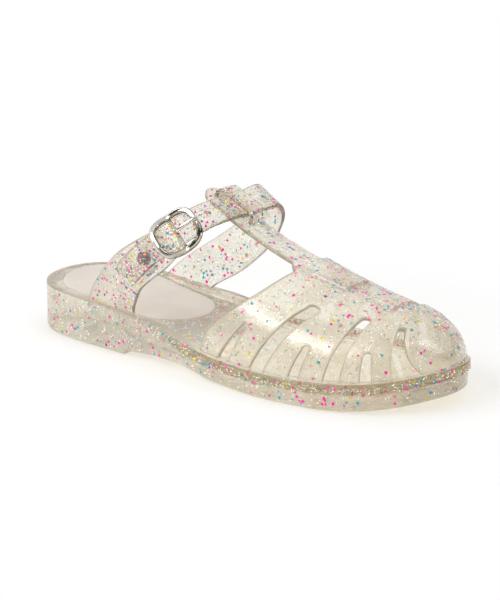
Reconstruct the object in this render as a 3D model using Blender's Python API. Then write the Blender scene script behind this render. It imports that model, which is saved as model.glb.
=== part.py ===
"""Fisherman mule, right shoe, moulded in clear soft plastic.

A wedge sole with a stepped side carries a caged vamp whose bands run up to a woven spine.
The spine goes on as a T-bar with a keeper loop, and an instep strap runs through that loop
to a buckle on the lateral side.

Tables are in millimetres and the meshes in metres.  +X points to the toe, +Y to the medial
side, +Z up.  The origin lies on the floor under the middle of the sole.
"""

import bmesh
import bpy
import numpy as np
from mathutils import Vector
from mathutils.geometry import delaunay_2d_cdt

MM = 0.001
GAP = 0.3               # clearance between neighbouring pieces

# Sole
OUTLINE = (             # plan of the sole, lateral side first, from the heel round the toe
    # x, y
    (-130.0, 0.0), (-125.0, -18.5), (-110.0, -31.0), (-85.0, -35.5), (-50.0, -37.5), (-10.0, -42.0),
    (28.0, -46.5), (58.0, -46.5), (86.0, -41.0), (108.0, -30.0), (123.0, -13.0), (130.0, 6.0),
    (126.0, 24.0), (111.0, 37.5), (84.0, 45.0), (52.0, 46.5), (18.0, 41.0), (-16.0, 34.5),
    (-50.0, 32.0), (-85.0, 34.0), (-110.0, 30.0), (-125.0, 18.0))
HEIGHTS = (             # heights above the floor along the shoe
    # x, tread, rim, bed
    (-130.0, 0.6, 26.2, 26.0), (-118.0, 0.0, 25.8, 25.6), (-85.0, 0.0, 24.6, 24.0), (-52.0, 0.0, 23.2, 20.2),
    (-30.0, 1.8, 21.8, 18.4), (-8.0, 2.6, 17.4, 13.6), (12.0, 1.2, 14.6, 10.6), (45.0, 0.0, 13.6, 9.6),
    (82.0, 0.0, 14.2, 10.2), (108.0, 2.2, 16.4, 12.4), (130.0, 6.6, 20.6, 16.4))
HEEL_BREAST = -51.0     # front face of the heel block
BREAST_STEP = 2.2       # how far the waist lies above the heel's tread
BREAST_RUN = 0.8        # plan depth of that step's face
WAIST_END, WAIST_FADE = 8.0, 40.0       # where the waist's lift ends, and the run over which it fades
RIM_BAND = 5.6          # height of the upper band of the side
RIM_STEP = 1.3          # how far the upper band stands proud of the lower one
STEP_SLOPE = 0.6        # height of the sloped face between the two bands
TIER_FADE = (-55.0, -29.0)              # stretch over which the side's step grows
LIP = 3.0               # width of the flat lip outside the vamp
BED_INSET = (3.4, 6.4)  # width of the whole rim at the heel and in front of it
BED_INSET_FADE = (-92.0, -83.0)         # stretch between those two widths
BED_SLOPE = 1.0         # plan run of the footbed's side wall
EDGE_ROUND = 1.0        # chamfer along the rim
TREAD_ROUND, TREAD_DRAFT = 1.6, 0.3     # chamfer and draft of the tread's edge
OUTLINE_COUNT = 110
SIDE_CLEAR = 12.0       # a plan point further than this from the middle belongs to one side
HALF_LONG, HALF_WIDE = 126.0, 44.0      # reach of the corner grid over the sole
BED_STEP = 13.0         # spacing of that grid
GRID_CLEAR = 5.0        # how far its corners keep from an edge
BREAST_ROW = (-32.0, 27.0, 9)           # corners along the breast: from, to, count

# Heel pad
PAD = (                 # outline of the pad under the heel and arch
    # x, y
    (-122.2, 3.0), (-118.6, -10.0), (-111.0, -20.4), (-102.0, -25.4), (-91.0, -27.6), (-80.0, -27.4),
    (-58.0, -27.2), (-40.0, -25.0), (-29.0, -14.0), (-26.0, 1.0), (-31.0, 14.0), (-43.0, 21.0), (-60.0, 23.0),
    (-82.0, 25.0), (-103.0, 25.0), (-117.0, 18.0))
PAD_COUNT = 48
PAD_DEPTH = 1.6         # depth of its recess in the footbed
PAD_STAND = 0.4         # how far the pad stands above the footbed
PAD_ROUND, PAD_EDGE = 0.8, 0.5          # plan run and height of the pad's chamfer
RECESS_DRAFT = 0.1      # draft of the recess wall

# Last
CROWN = (               # ridge of the upper: place across the shoe and height of its outer face
    # x, ridge, crown
    (-34.0, 4.0, 90.0), (-24.0, 4.0, 86.0), (0.0, 4.0, 74.5), (20.0, 4.0, 66.0), (43.0, 4.0, 58.2),
    (60.0, 4.4, 53.4), (76.0, 5.0, 49.2), (92.0, 5.6, 46.4), (110.0, 6.4, 45.0), (130.0, 7.0, 44.0))
TOE_ROUND_FROM = 86.0   # where the crown starts to round down to the toe
TOE_ROUND_POWER = 2.6
SIDE_POWER, TOP_POWER = 2.25, 2.0
WALL = 2.4

# Vamp
COLLAR = (              # rear edge of the vamp, from the lip up to the T-bar: angle 90 is the lip
    # x, angle
    (5.0, 90.0), (10.0, 78.0), (18.0, 68.0), (26.0, 58.0), (33.0, 47.0), (38.5, 34.0), (42.0, 18.0))
SLOTS = (               # gaps between the bands, open at the lip
    # rear_x, front_x, top_x, top_angle, top_width
    (18.5, 25.0, 34.0, 64.0, 3.4),
    (40.0, 48.5, 65.0, 35.0, 6.4),
    (63.5, 69.0, 71.0, 65.0, 3.8),
    (82.0, 90.0, 91.5, 30.0, 4.6),
    (99.5, 104.5, 100.8, 62.0, 3.6),
    (112.5, 121.5, 108.6, 30.0, 2.4))
MM_PER_DEGREE = 0.75    # arc length of a degree across the vamp, for round slot tops
SLOT_TOP_POINTS, SLOT_SIDE_POINTS = 7, 6
EDGE_STEP, GRID_STEP, GRID_TURN = 4.5, 7.0, 13.0    # spacing of the vamp's corners
TBAR_HALF = 9.5         # half width of the T-bar
TBAR_ROOT = 36.5        # where its edges run into the collar
TBAR_END = -26.0        # tip of its tongue
WEAVE = (               # raised crossings of the woven spine: lift and plan corners
    # lift, rear_x, front_x, rear_half, front_half
    (2.8, 43.0, 70.0, 11.5, 8.5),
    (1.6, 83.0, 97.0, 9.0, 10.0))
CAP_LIFT = 1.2          # step of the toe cap
CAP_REAR, CAP_RUN = 100.0, 1.5          # rear edge of the cap and half the run of its step
STEP_RUN = 0.7          # plan width of a step's wall
CORNER_CLEAR = 2.6      # least distance of an inner corner from an edge or a step
FOOT_BAND = 0.1         # the vamp stands on the lip below this height

# Keeper loop over the instep strap
KEEPER_REAR, KEEPER_FRONT = -20.5, 4.5
KEEPER_LOW, KEEPER_HIGH = -3.5, 9.0     # its edges, measured from the ridge
KEEPER_RISE = 3.6       # clear height over the T-bar
KEEPER_WALL = 2.2
KEEPER_ROUND = 2.0      # chamfer of its top corners
KEEPER_SUNK = 1.4       # how far its feet reach into the T-bar

# Straps
STRAP_WALL = 2.4
STRAP_CHAMFER = 0.5
FOOT_REAR, FOOT_FRONT = -80.0, -47.0    # where both straps stand on the lip
FOOT_LIFT = 0.3         # allows for the lip's fall under a strap's flat foot
STRAP = (               # instep strap from its free end over the bar and the instep down the medial side
    # x, y, z, width, pitch
    (-46.5, -41.4, 43.8, 14.4, 42.0), (-40.0, -41.4, 50.6, 14.8, 42.0), (-31.0, -39.6, 59.4, 14.8, 43.0),
    (-18.4, -31.2, 70.4, 14.8, 45.0), (-13.0, -20.0, 76.4, 15.6, 35.0), (-8.6, -8.0, 79.5, 17.2, 25.6),
    (-7.2, 4.0, 79.9, 18.0, 25.6), (-7.0, 15.0, 80.2, 18.2, 25.6), (-6.4, 27.6, 80.8, 18.8, 30.0),
    (-9.0, 34.2, 73.4, 20.0, 36.0), (-19.0, 36.0, 59.0, 22.0, 40.0), (-37.0, 34.6, 43.6, 24.6, 36.0),
    (-55.0, 30.4, 31.0, 29.0, 16.0))
TAB = (                 # buckle tab above its foot on the lateral lip
    # x, y, z, width, pitch
    (-60.0, -33.6, 31.0, 30.0, 14.0), (-50.0, -36.2, 43.0, 25.0, 34.0), (-42.0, -37.0, 50.2, 23.4, 41.0),
    (-30.0, -35.0, 59.0, 21.6, 41.0))
TAB_END_WIDTH = 15.0
TIP_ROUND = 3.0         # rounding of the free end's two corners
STRAP_PER = 5           # samples on each stretch between two rows
BAR_ROW = 3             # row of the instep strap that lies over the bar

# Buckle
FRAME_LONG, FRAME_WIDE = 11.8, 10.4     # half sizes of the frame's centre line
FRAME_POWER = 3.6
FRAME_LIFT = 1.2        # height of the frame's sides over the bar's middle
FRAME_RISE = 4.8        # height of its bowed ends
FRAME_BOW = 1.1         # power of that bow
FRAME_THICK, FRAME_BROAD = 1.3, 1.8     # half sizes of the frame's section
FRAME_SIDES, FRAME_TURNS = 10, 40
BAR_RADIUS = 1.2
BAR_CLEAR = 0.4         # clearance between the bar and the strap over it
BAR_SIDES = 12
PRONG_RADIUS = 1.0
PRONG_SIDES = 10
HOLE_RADIUS, HOLE_SHIFT, HOLE_REACH = 2.0, 0.4, 9.0     # the strap's hole, its place past the bar, its cutter
RIVET_RADIUS, RIVET_SHANK, RIVET_HEAD = 3.4, 1.3, 0.8
RIVET_CHAMFER = 0.4
RIVET_REACH = 3.0       # half length of the cutter for its hole
RIVET_ROW = 3.6         # place of the rivet along the tab's rows

COLOURS = {             # colour, roughness, metallic, transmission
    "clear": ((0.86, 0.83, 0.72, 1.0), 0.12, 0.0, 0.9),
    "pad": ((0.80, 0.74, 0.70, 1.0), 0.6, 0.0, 0.0),
    "chrome": ((0.80, 0.79, 0.76, 1.0), 0.12, 1.0, 0.0),
    "dark_metal": ((0.28, 0.26, 0.23, 1.0), 0.3, 1.0, 0.0)}


def clear_scene():
    for old in list(bpy.data.objects):
        bpy.data.objects.remove(old, do_unlink=True)


def finish(name):
    """Principled material of one of the named finishes."""
    colour, roughness, metallic, transmission = COLOURS[name]
    material = bpy.data.materials.get(name) or bpy.data.materials.new(name)
    material.use_nodes = True
    shader = material.node_tree.nodes["Principled BSDF"]
    shader.inputs["Base Color"].default_value = colour
    shader.inputs["Roughness"].default_value = roughness
    shader.inputs["Metallic"].default_value = metallic
    shader.inputs["Transmission Weight"].default_value = transmission
    material.diffuse_color = colour
    return material


def solid(name, points, faces, finish_name):
    """Mesh object from points in millimetres."""
    mesh = bpy.data.meshes.new(name)
    mesh.from_pydata([tuple(p) for p in np.asarray(points) * MM], [], [tuple(map(int, f)) for f in faces])
    shape = bmesh.new()
    shape.from_mesh(mesh)
    bmesh.ops.recalc_face_normals(shape, faces=shape.faces)
    shape.to_mesh(mesh)
    shape.free()
    mesh.shade_smooth()
    mesh.set_sharp_from_angle(angle=np.radians(40.0))
    mesh.materials.append(finish(finish_name))
    piece = bpy.data.objects.new(name, mesh)
    bpy.context.collection.objects.link(piece)
    return piece


def cut(piece, cutter, operation="DIFFERENCE"):
    """Boolean with a hidden cutter or an added shape."""
    cutter.hide_render = True
    cutter.display_type = "WIRE"
    step = piece.modifiers.new(cutter.name, "BOOLEAN")
    step.operation = operation
    step.object = cutter


def through(points, per, closed=False):
    """Catmull-Rom curve through the rows, with per samples on each stretch."""
    p = np.asarray(points, float)
    if closed:
        before, after, further = np.roll(p, 1, 0), np.roll(p, -1, 0), np.roll(p, -2, 0)
        start = p
    else:
        long = np.vstack([2 * p[0] - p[1], p, 2 * p[-1] - p[-2]])
        before, start, after, further = long[:-3], long[1:-2], long[2:-1], long[3:]
    t = np.linspace(0.0, 1.0, per, endpoint=False)[None, :, None]
    a, b, c, d = (q[:, None, :] for q in (before, start, after, further))
    curve = 0.5 * (2 * b + (c - a) * t + (2 * a - 5 * b + 4 * c - d) * t ** 2 + (3 * b - a - 3 * c + d) * t ** 3)
    curve = curve.reshape(-1, p.shape[1])
    return curve if closed else np.vstack([curve, p[-1]])


def row_value(table, x, column):
    """Smooth value of one column of a table at x, its first column."""
    fine = through(table, 24)
    return np.interp(x, fine[:, 0], fine[:, column])


def even(points, count):
    """The closed loop sampled at equal steps."""
    loop = np.vstack([points, points[:1]])
    walk = np.concatenate([[0.0], np.cumsum(np.linalg.norm(np.diff(loop, axis=0), axis=1))])
    at = np.linspace(0.0, walk[-1], count, endpoint=False)
    return np.column_stack([np.interp(at, walk, loop[:, k]) for k in range(loop.shape[1])])


def plan(inset, count=OUTLINE_COUNT):
    """Sole outline drawn in by inset, at equal steps."""
    curve = through(OUTLINE, 24, closed=True)
    loop = even(curve, count)
    along = np.roll(loop, -1, 0) - np.roll(loop, 1, 0)
    along /= np.linalg.norm(along, axis=1)[:, None]
    inward = np.column_stack([-along[:, 1], along[:, 0]])
    for side in (-1, 1):
        branch = curve[side * curve[:, 1] > SIDE_CLEAR]
        branch = branch[np.argsort(branch[:, 0])]
        nearest = int(np.argmin(np.abs(loop[:, 0] - HEEL_BREAST) + 1e3 * (side * loop[:, 1] < SIDE_CLEAR)))
        for index, x in ((nearest, HEEL_BREAST), (nearest - side, HEEL_BREAST + BREAST_RUN)):
            loop[index] = (x, np.interp(x, branch[:, 0], branch[:, 1]))
    return loop + inward * np.broadcast_to(np.asarray(inset, float), (count,))[:, None]


def tread_height(x):
    """Underside of the sole, with the step at the heel's breast."""
    low = row_value(HEIGHTS, x, 1)
    step = np.clip((x - HEEL_BREAST) / BREAST_RUN, 0.0, 1.0)
    fade = np.clip((WAIST_END - x) / WAIST_FADE, 0.0, 1.0)
    return np.maximum(low, 0.0) + BREAST_STEP * step * np.sqrt(fade)


def rim_height(x):
    return row_value(HEIGHTS, x, 2)


def bed_height(x):
    return row_value(HEIGHTS, x, 3)


def fill(loops, inner):
    """Triangles of the plan region inside the first loop; other loops and inner points are corners."""
    corners = np.vstack(list(loops) + [np.asarray(inner, float).reshape(-1, 2)])
    edges = []
    start = 0
    for loop in loops:
        count = len(loop)
        edges += [(start + i, start + (i + 1) % count) for i in range(count)]
        start += count
    made = delaunay_2d_cdt([Vector(p) for p in corners], edges, [], 1, 1e-6)
    if len(made[0]) != len(corners):
        raise ValueError("the plan's loops cross")
    return corners, [tuple(f) for f in made[2]]


def inside(points, loop):
    """Even-odd test of plan points against a closed loop."""
    x, y = points[:, :1], points[:, 1:]
    a, b = loop, np.roll(loop, -1, 0)
    spans = (a[None, :, 1] > y) != (b[None, :, 1] > y)
    rise = np.where(a[:, 1] == b[:, 1], 1e-9, b[:, 1] - a[:, 1])
    crossing = a[None, :, 0] + (y - a[None, :, 1]) * (b[:, 0] - a[:, 0])[None, :] / rise[None, :]
    return (np.sum(spans & (x < crossing), axis=1) % 2) == 1


def apart(points, others, distance):
    """True for the points that keep the distance to all others."""
    gaps = np.linalg.norm(points[:, None, :] - others[None, :, :], axis=2)
    return gaps.min(axis=1) > distance


def band(first, second, count):
    """Quads between two loops of count corners that start at the given indices."""
    return [(first + i, first + (i + 1) % count, second + (i + 1) % count, second + i) for i in range(count)]


def smooth_step(x, low, high):
    t = np.clip((x - low) / (high - low), 0.0, 1.0)
    return t * t * (3.0 - 2.0 * t)


def plan_grid():
    """Plan points on a square grid over the sole."""
    xs, ys = np.meshgrid(np.arange(-HALF_LONG, HALF_LONG, BED_STEP), np.arange(-HALF_WIDE, HALF_WIDE, BED_STEP))
    return np.column_stack([xs.ravel(), ys.ravel()])


def sole_loops():
    """Loops of the sole from the tread's edge over the stepped side and the lip to the footbed."""
    x = plan(0.0)[:, 0]
    tier = RIM_STEP * smooth_step(x, *TIER_FADE)
    lip = BED_INSET[0] + (BED_INSET[1] - BED_INSET[0]) * smooth_step(x, *BED_INSET_FADE)
    levels = (
        # inset, height, offset
        (tier + TREAD_ROUND, tread_height, 0.0), (tier + TREAD_DRAFT, tread_height, TREAD_ROUND - TREAD_DRAFT),
        (tier, rim_height, -RIM_BAND - STEP_SLOPE), (0.0, rim_height, STEP_SLOPE / 2.0 - RIM_BAND),
        (0.0, rim_height, -EDGE_ROUND), (EDGE_ROUND * 0.7, rim_height, 0.0), (lip, rim_height, 0.0),
        (lip + BED_SLOPE, bed_height, 0.0))
    loops = []
    for inset, height, offset in levels:
        loop = plan(inset)
        loops.append(np.column_stack([loop, height(loop[:, 0]) + offset]))
    return loops


def make_sole():
    loops = sole_loops()
    points = list(np.vstack(loops))
    faces = []
    for k in range(len(loops) - 1):
        faces += band(k * OUTLINE_COUNT, (k + 1) * OUTLINE_COUNT, OUTLINE_COUNT)
    rim_of_bed = loops[-1][:, :2]
    recess = pad_loop(GAP)
    floor_of_recess = pad_loop(GAP - RECESS_DRAFT)
    grid = plan_grid()
    kept = grid[inside(grid, rim_of_bed) & apart(grid, np.vstack([rim_of_bed, recess]), GRID_CLEAR)]
    corners, triangles = fill([rim_of_bed, recess, floor_of_recess], kept)
    in_recess = np.zeros(len(corners), bool)
    first = len(rim_of_bed) + len(recess)
    in_recess[first:first + len(floor_of_recess)] = True
    in_recess[first + len(floor_of_recess):] = inside(corners[first + len(floor_of_recess):], recess)
    top = np.column_stack([corners, bed_height(corners[:, 0]) - PAD_DEPTH * in_recess])
    shift = (len(loops) - 1) * OUTLINE_COUNT
    extra = len(points) - OUTLINE_COUNT
    points += list(top[OUTLINE_COUNT:])
    faces += [tuple(shift + i if i < OUTLINE_COUNT else extra + i for i in f) for f in triangles]
    edge = loops[0][:, :2]
    breast = [(HEEL_BREAST + d, y) for d in (0.0, BREAST_RUN) for y in np.linspace(*BREAST_ROW)]
    kept = grid[inside(grid, edge) & apart(grid, edge, GRID_CLEAR) & (np.abs(grid[:, 0] - HEEL_BREAST) > GRID_CLEAR)]
    corners, triangles = fill([edge], np.vstack([kept, breast]))
    below = np.column_stack([corners, tread_height(corners[:, 0])])
    extra = len(points) - OUTLINE_COUNT
    points += list(below[OUTLINE_COUNT:])
    faces += [tuple(i if i < OUTLINE_COUNT else extra + i for i in reversed(f)) for f in triangles]
    return solid("sole", points, faces, "clear")


def pad_loop(grow):
    """Outline of the heel pad, grown by a margin."""
    loop = even(through(PAD, 12, closed=True), PAD_COUNT)
    along = np.roll(loop, -1, 0) - np.roll(loop, 1, 0)
    along /= np.linalg.norm(along, axis=1)[:, None]
    return loop + np.column_stack([along[:, 1], -along[:, 0]]) * grow


def make_pad():
    levels = ((0.0, GAP - PAD_DEPTH), (0.0, PAD_STAND - PAD_EDGE), (-PAD_ROUND, PAD_STAND))
    loops = []
    for grow, height in levels:
        loop = pad_loop(grow)
        loops.append(np.column_stack([loop, bed_height(loop[:, 0]) + height]))
    points = list(np.vstack(loops))
    faces = band(0, PAD_COUNT, PAD_COUNT) + band(PAD_COUNT, 2 * PAD_COUNT, PAD_COUNT)
    grid = plan_grid()
    for level, (loop, height) in enumerate(((loops[0], levels[0][1]), (loops[-1], levels[-1][1]))):
        kept = grid[inside(grid, loop[:, :2]) & apart(grid, loop[:, :2], GRID_CLEAR)]
        corners, triangles = fill([loop[:, :2]], kept)
        start = 2 * PAD_COUNT if level else 0
        extra = len(points) - PAD_COUNT
        points += list(np.column_stack([corners, bed_height(corners[:, 0]) + height])[PAD_COUNT:])
        for f in triangles:
            face = tuple(start + i if i < PAD_COUNT else extra + i for i in f)
            faces.append(face if level else face[::-1])
    return solid("heel_pad", points, faces, "pad")


def lip_branch(side):
    """Lip line of one side, ordered from heel to toe."""
    loop = plan(LIP, 420)
    tip, heel = int(np.argmax(loop[:, 0])), int(np.argmin(loop[:, 0]))
    order = np.roll(np.arange(len(loop)), -heel)
    split = int(np.where(order == tip)[0][0])
    lateral = loop[order[:split + 1]]
    medial = loop[np.append(order[split:], order[0])][::-1]
    return lateral if side < 0 else medial


LIP_LINES = {side: lip_branch(side) for side in (-1, 1)}


def lip_y(x, side):
    line = LIP_LINES[side]
    return np.interp(x, line[:, 0], line[:, 1])


def toe_tip():
    return LIP_LINES[-1][-1]


def toe_share(x):
    """0 behind the toe's rounding, 1 at its tip."""
    tip_x = toe_tip()[0]
    return np.clip((x - TOE_ROUND_FROM) / (tip_x - TOE_ROUND_FROM), 0.0, 1.0)


def ridge_y(x):
    return row_value(CROWN, x, 1) + (toe_tip()[1] - row_value(CROWN, x, 1)) * toe_share(x) ** 2


def base_height(x):
    return rim_height(x) + GAP


def crown_height(x):
    """Ridge height, rounded down to the lip at the toe."""
    low = base_height(x)
    return low + (row_value(CROWN, x, 2) - low) * np.sqrt(1.0 - toe_share(x) ** TOE_ROUND_POWER)


def pattern_point(x, angle, side):
    """Plan point of the upper from its place along the shoe and its angle off the ridge."""
    ridge = ridge_y(x)
    return np.column_stack([x, ridge + (lip_y(x, side) - ridge) * np.sin(np.radians(angle))])


def last_point(xy):
    """Outer face of the upper over a plan point: superellipse sections from lip to lip."""
    x, y = xy[:, 0], xy[:, 1]
    ridge = ridge_y(x)
    lip = np.where(y < ridge, lip_y(x, -1), lip_y(x, 1))
    across = np.clip(np.abs(y - ridge) / np.maximum(np.abs(lip - ridge), 1e-6), 0.0, 1.0)
    low = base_height(x)
    height = low + (crown_height(x) - low) * (1.0 - across ** SIDE_POWER) ** (1.0 / TOP_POWER)
    return np.column_stack([x, y, height])


def lip_run(x_from, x_to, side, step):
    """Plan points along the lip between two places."""
    line = LIP_LINES[side]
    line = line[(line[:, 0] > x_from) & (line[:, 0] < x_to)]
    ends = pattern_point(np.array([x_from, x_to]), np.array([90.0, 90.0]), side)
    line = np.vstack([ends[:1], line, ends[1:]])
    walk = np.concatenate([[0.0], np.cumsum(np.linalg.norm(np.diff(line, axis=0), axis=1))])
    at = np.linspace(0.0, walk[-1], max(2, int(round(walk[-1] / step)) + 1))
    return np.column_stack([np.interp(at, walk, line[:, k]) for k in range(2)])


def slot_edge(slot, side):
    """Plan points up the rear edge of a slot, round its top and down its front edge."""
    rear_x, front_x, top_x, top_angle, top_width = slot
    radius = top_width / 2.0
    reach = radius / MM_PER_DEGREE
    turn = np.radians(np.linspace(0.0, 180.0, SLOT_TOP_POINTS))
    round_x = top_x - radius * np.cos(turn)
    round_angle = top_angle + reach * (1.0 - np.sin(turn))
    share = np.linspace(0.0, 1.0, SLOT_SIDE_POINTS, endpoint=False)[1:]
    up_x = rear_x + (round_x[0] - rear_x) * share
    down_x = round_x[-1] + (front_x - round_x[-1]) * share
    up_angle = 90.0 + (round_angle[0] - 90.0) * share
    x = np.concatenate([up_x, round_x, down_x])
    angle = np.concatenate([up_angle, round_angle, up_angle[::-1]])
    return pattern_point(x, angle, side)


def half_edge(side):
    """Edge of one half of the vamp, from the T-bar down the collar and along the lip to the toe."""
    collar = through(COLLAR[::-1], 3)
    runs = [pattern_point(collar[:, 0], collar[:, 1], side)]
    x = COLLAR[0][0]
    for slot in SLOTS:
        runs.append(lip_run(x, slot[0], side, EDGE_STEP)[1:])
        runs.append(slot_edge(slot, side))
        x = slot[1]
        runs.append(pattern_point(np.array([x]), np.array([90.0]), side))
    runs.append(lip_run(x, toe_tip()[0] - 0.02, side, EDGE_STEP)[1:])
    return np.vstack(runs)


def tbar_edge():
    """Edge of the T-bar from its medial root round the tongue to its lateral root."""
    x = np.linspace(TBAR_ROOT, TBAR_END + TBAR_HALF, 9)
    medial = np.column_stack([x, ridge_y(x) + TBAR_HALF])
    turn = np.radians(np.linspace(0.0, 180.0, 11))[1:-1]
    end_x = TBAR_END + TBAR_HALF
    tongue = np.column_stack([end_x - TBAR_HALF * np.sin(turn), ridge_y(end_x) + TBAR_HALF * np.cos(turn)])
    lateral = np.column_stack([x[::-1], ridge_y(x[::-1]) - TBAR_HALF])
    return np.vstack([medial, tongue, lateral])


def weave_loop(row, grow):
    """Plan loop of a raised crossing, grown by a margin."""
    lift, rear, front, rear_half, front_half = row
    x = np.linspace(rear - grow, front + grow, 7)
    half = np.interp(x, (rear, front), (rear_half, front_half)) + grow
    low = np.column_stack([x, ridge_y(x) - half])
    high = np.column_stack([x, ridge_y(x) + half])
    return np.vstack([low, high[::-1]])


def upper_pattern():
    """Edge loop of the whole upper in plan, and the points inside it."""
    edge = np.vstack([half_edge(-1), half_edge(1)[::-1], tbar_edge()])
    steps = [weave_loop(row, grow) for row in WEAVE for grow in (STEP_RUN, 0.0)]
    xs, angles = np.meshgrid(np.arange(TBAR_END, toe_tip()[0], GRID_STEP), np.arange(0.0, 90.0, GRID_TURN))
    xs, angles = xs.ravel(), angles.ravel()
    off = angles > 0.0
    grid = np.vstack([pattern_point(xs, angles, -1), pattern_point(xs[off], angles[off], 1)])
    kept = grid[inside(grid, edge)]
    space, fixed = last_point(kept), last_point(np.vstack([edge] + steps))
    return edge, steps, kept[apart(space, fixed, CORNER_CLEAR)]


def point_normals(points, triangles):
    """Unit normals at the points of a triangle sheet."""
    a, b, c = (points[np.array(triangles)[:, k]] for k in range(3))
    facing = np.cross(b - a, c - a)
    total = np.zeros_like(points)
    for k in range(3):
        np.add.at(total, np.array(triangles)[:, k], facing)
    return total / np.linalg.norm(total, axis=1)[:, None]


def make_upper():
    edge, steps, inner = upper_pattern()
    corners, triangles = fill([edge] + steps, inner)
    sheet = last_point(corners)
    normal = point_normals(sheet, triangles)
    lift = CAP_LIFT * smooth_step(corners[:, 0], CAP_REAR - CAP_RUN, CAP_REAR + CAP_RUN)
    for row in WEAVE:
        raised = inside(corners, weave_loop(row, STEP_RUN / 2.0))
        lift = np.where(raised, row[0], lift)
    standing = sheet[:, 2] - base_height(sheet[:, 0]) < FOOT_BAND
    lift[standing] = 0.0
    under = sheet - normal * WALL
    under[:, 2] = np.maximum(under[:, 2], base_height(under[:, 0]))
    sheet[standing, 2] = base_height(sheet[standing, 0])
    under[standing, 2] = base_height(under[standing, 0])
    points = np.vstack([sheet + normal * lift[:, None], under])
    count = len(corners)
    faces = [tuple(f) for f in triangles] + [tuple(count + i for i in reversed(f)) for f in triangles]
    rim = len(edge)
    faces += [(i, count + i, count + (i + 1) % rim, (i + 1) % rim) for i in range(rim)]
    upper = solid("upper", points, faces, "clear")
    cut(upper, make_keeper(), "UNION")
    return upper


def make_keeper():
    """Loop on the T-bar: an arch over the instep strap, from side to side between two edges."""
    middle = (KEEPER_REAR + KEEPER_FRONT) / 2.0
    fall = crown_height(np.array([KEEPER_REAR, KEEPER_FRONT]))
    along = np.array([KEEPER_FRONT - KEEPER_REAR, fall[1] - fall[0]])
    half = np.linalg.norm(along) / 2.0
    along = along / (2.0 * half)
    up = np.array([-along[1], along[0]])
    root = np.array([middle, fall.mean()])
    room, top, low = half - KEEPER_WALL - GAP, KEEPER_RISE + KEEPER_WALL, -KEEPER_SUNK
    shoulder, side = half - KEEPER_ROUND, top - KEEPER_ROUND
    profile = ((-half, low), (-half, side), (-shoulder, top), (shoulder, top), (half, side), (half, low),
               (room, low), (room, KEEPER_RISE), (-room, KEEPER_RISE), (-room, low))
    flat = np.array([root + along * s + up * n for s, n in profile])
    points = []
    for offset in (KEEPER_LOW, KEEPER_HIGH):
        points += [(x, ridge_y(np.array([middle]))[0] + offset, z) for x, z in flat]
    count = len(profile)
    faces = [tuple(reversed(f)) for f in band(0, count, count)]
    faces += [tuple(range(count)), tuple(reversed(range(count, 2 * count)))]
    return solid("keeper_shape", points, faces, "clear")


def strap_foot(side):
    """Row that stands a strap on the lip: its middle, width, pitch and place."""
    ends = np.array([FOOT_REAR, FOOT_FRONT])
    y = lip_y(ends, side) - side * STRAP_WALL / 2.0
    z = rim_height(ends) + GAP + FOOT_LIFT
    width = FOOT_FRONT - FOOT_REAR
    pitch = np.degrees(np.arctan2(z[0] - z[1], width))
    return (ends.mean(), y.mean(), z.mean(), width, pitch)


def strap_frames(rows):
    """Centre line of a strap with its directions: along it, across its width and out of its face."""
    line = through(rows, STRAP_PER)
    centre, width, pitch = line[:, :3], line[:, 3], np.radians(line[:, 4])
    along = np.gradient(centre, axis=0)
    along /= np.linalg.norm(along, axis=1)[:, None]
    across = np.column_stack([np.cos(pitch), np.zeros(len(line)), -np.sin(pitch)])
    out = np.cross(across, along)
    out /= np.linalg.norm(out, axis=1)[:, None]
    return centre, along, across, out, width


def ribbon(name, frames, finish_name):
    """Solid strap: a flat section with chamfered corners carried along the frames."""
    centre, along, across, out, width = frames
    half, thick = width / 2.0, STRAP_WALL / 2.0
    near, flat = half - STRAP_CHAMFER, thick - STRAP_CHAMFER
    section = ((half, -flat), (half, flat), (near, thick), (-near, thick), (-half, flat), (-half, -flat),
               (-near, -thick), (near, -thick))
    loops = [centre + across * np.broadcast_to(w, half.shape)[:, None] + out * n for w, n in section]
    points = np.stack(loops, axis=1).reshape(-1, 3)
    count = len(section)
    faces = []
    for k in range(len(centre) - 1):
        faces += band(k * count, (k + 1) * count, count)
    last = (len(centre) - 1) * count
    faces += [tuple(reversed(range(count))), tuple(range(last, last + count))]
    return solid(name, points, faces, finish_name)


def round_tip(frames, radius):
    """The same frames with the first stretch narrowed by the rounds of the end's two corners."""
    centre, along, across, out, width = frames
    walk = np.concatenate([[0.0], np.cumsum(np.linalg.norm(np.diff(centre, axis=0), axis=1))])
    short = np.clip(radius - walk, 0.0, radius)
    return centre, along, across, out, width - 2.0 * (radius - np.sqrt(radius ** 2 - short ** 2))


def turned(name, centre, axis, side, profile, finish_name, sides=16):
    """Turned piece: rows of radius and height along an axis, closed at both ends."""
    other = np.cross(axis, side)
    turn = np.linspace(0.0, 2.0 * np.pi, sides, endpoint=False)
    ring = np.outer(np.cos(turn), side) + np.outer(np.sin(turn), other)
    points = np.vstack([centre + ring * radius + axis * height for radius, height in profile])
    faces = []
    for k in range(len(profile) - 1):
        faces += band(k * sides, (k + 1) * sides, sides)
    last = (len(profile) - 1) * sides
    faces += [tuple(reversed(range(sides))), tuple(range(last, last + sides))]
    return solid(name, points, faces, finish_name)


def bar_frame(strap):
    """Middle of the buckle's bar and its directions, under the strap's bar row."""
    index = BAR_ROW * STRAP_PER
    centre, along, across, out = (a[index] for a in strap[:4])
    across = across - along * np.dot(across, along)
    across /= np.linalg.norm(across)
    return centre - out * (STRAP_WALL / 2.0 + BAR_CLEAR + BAR_RADIUS), along, across, out


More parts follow.
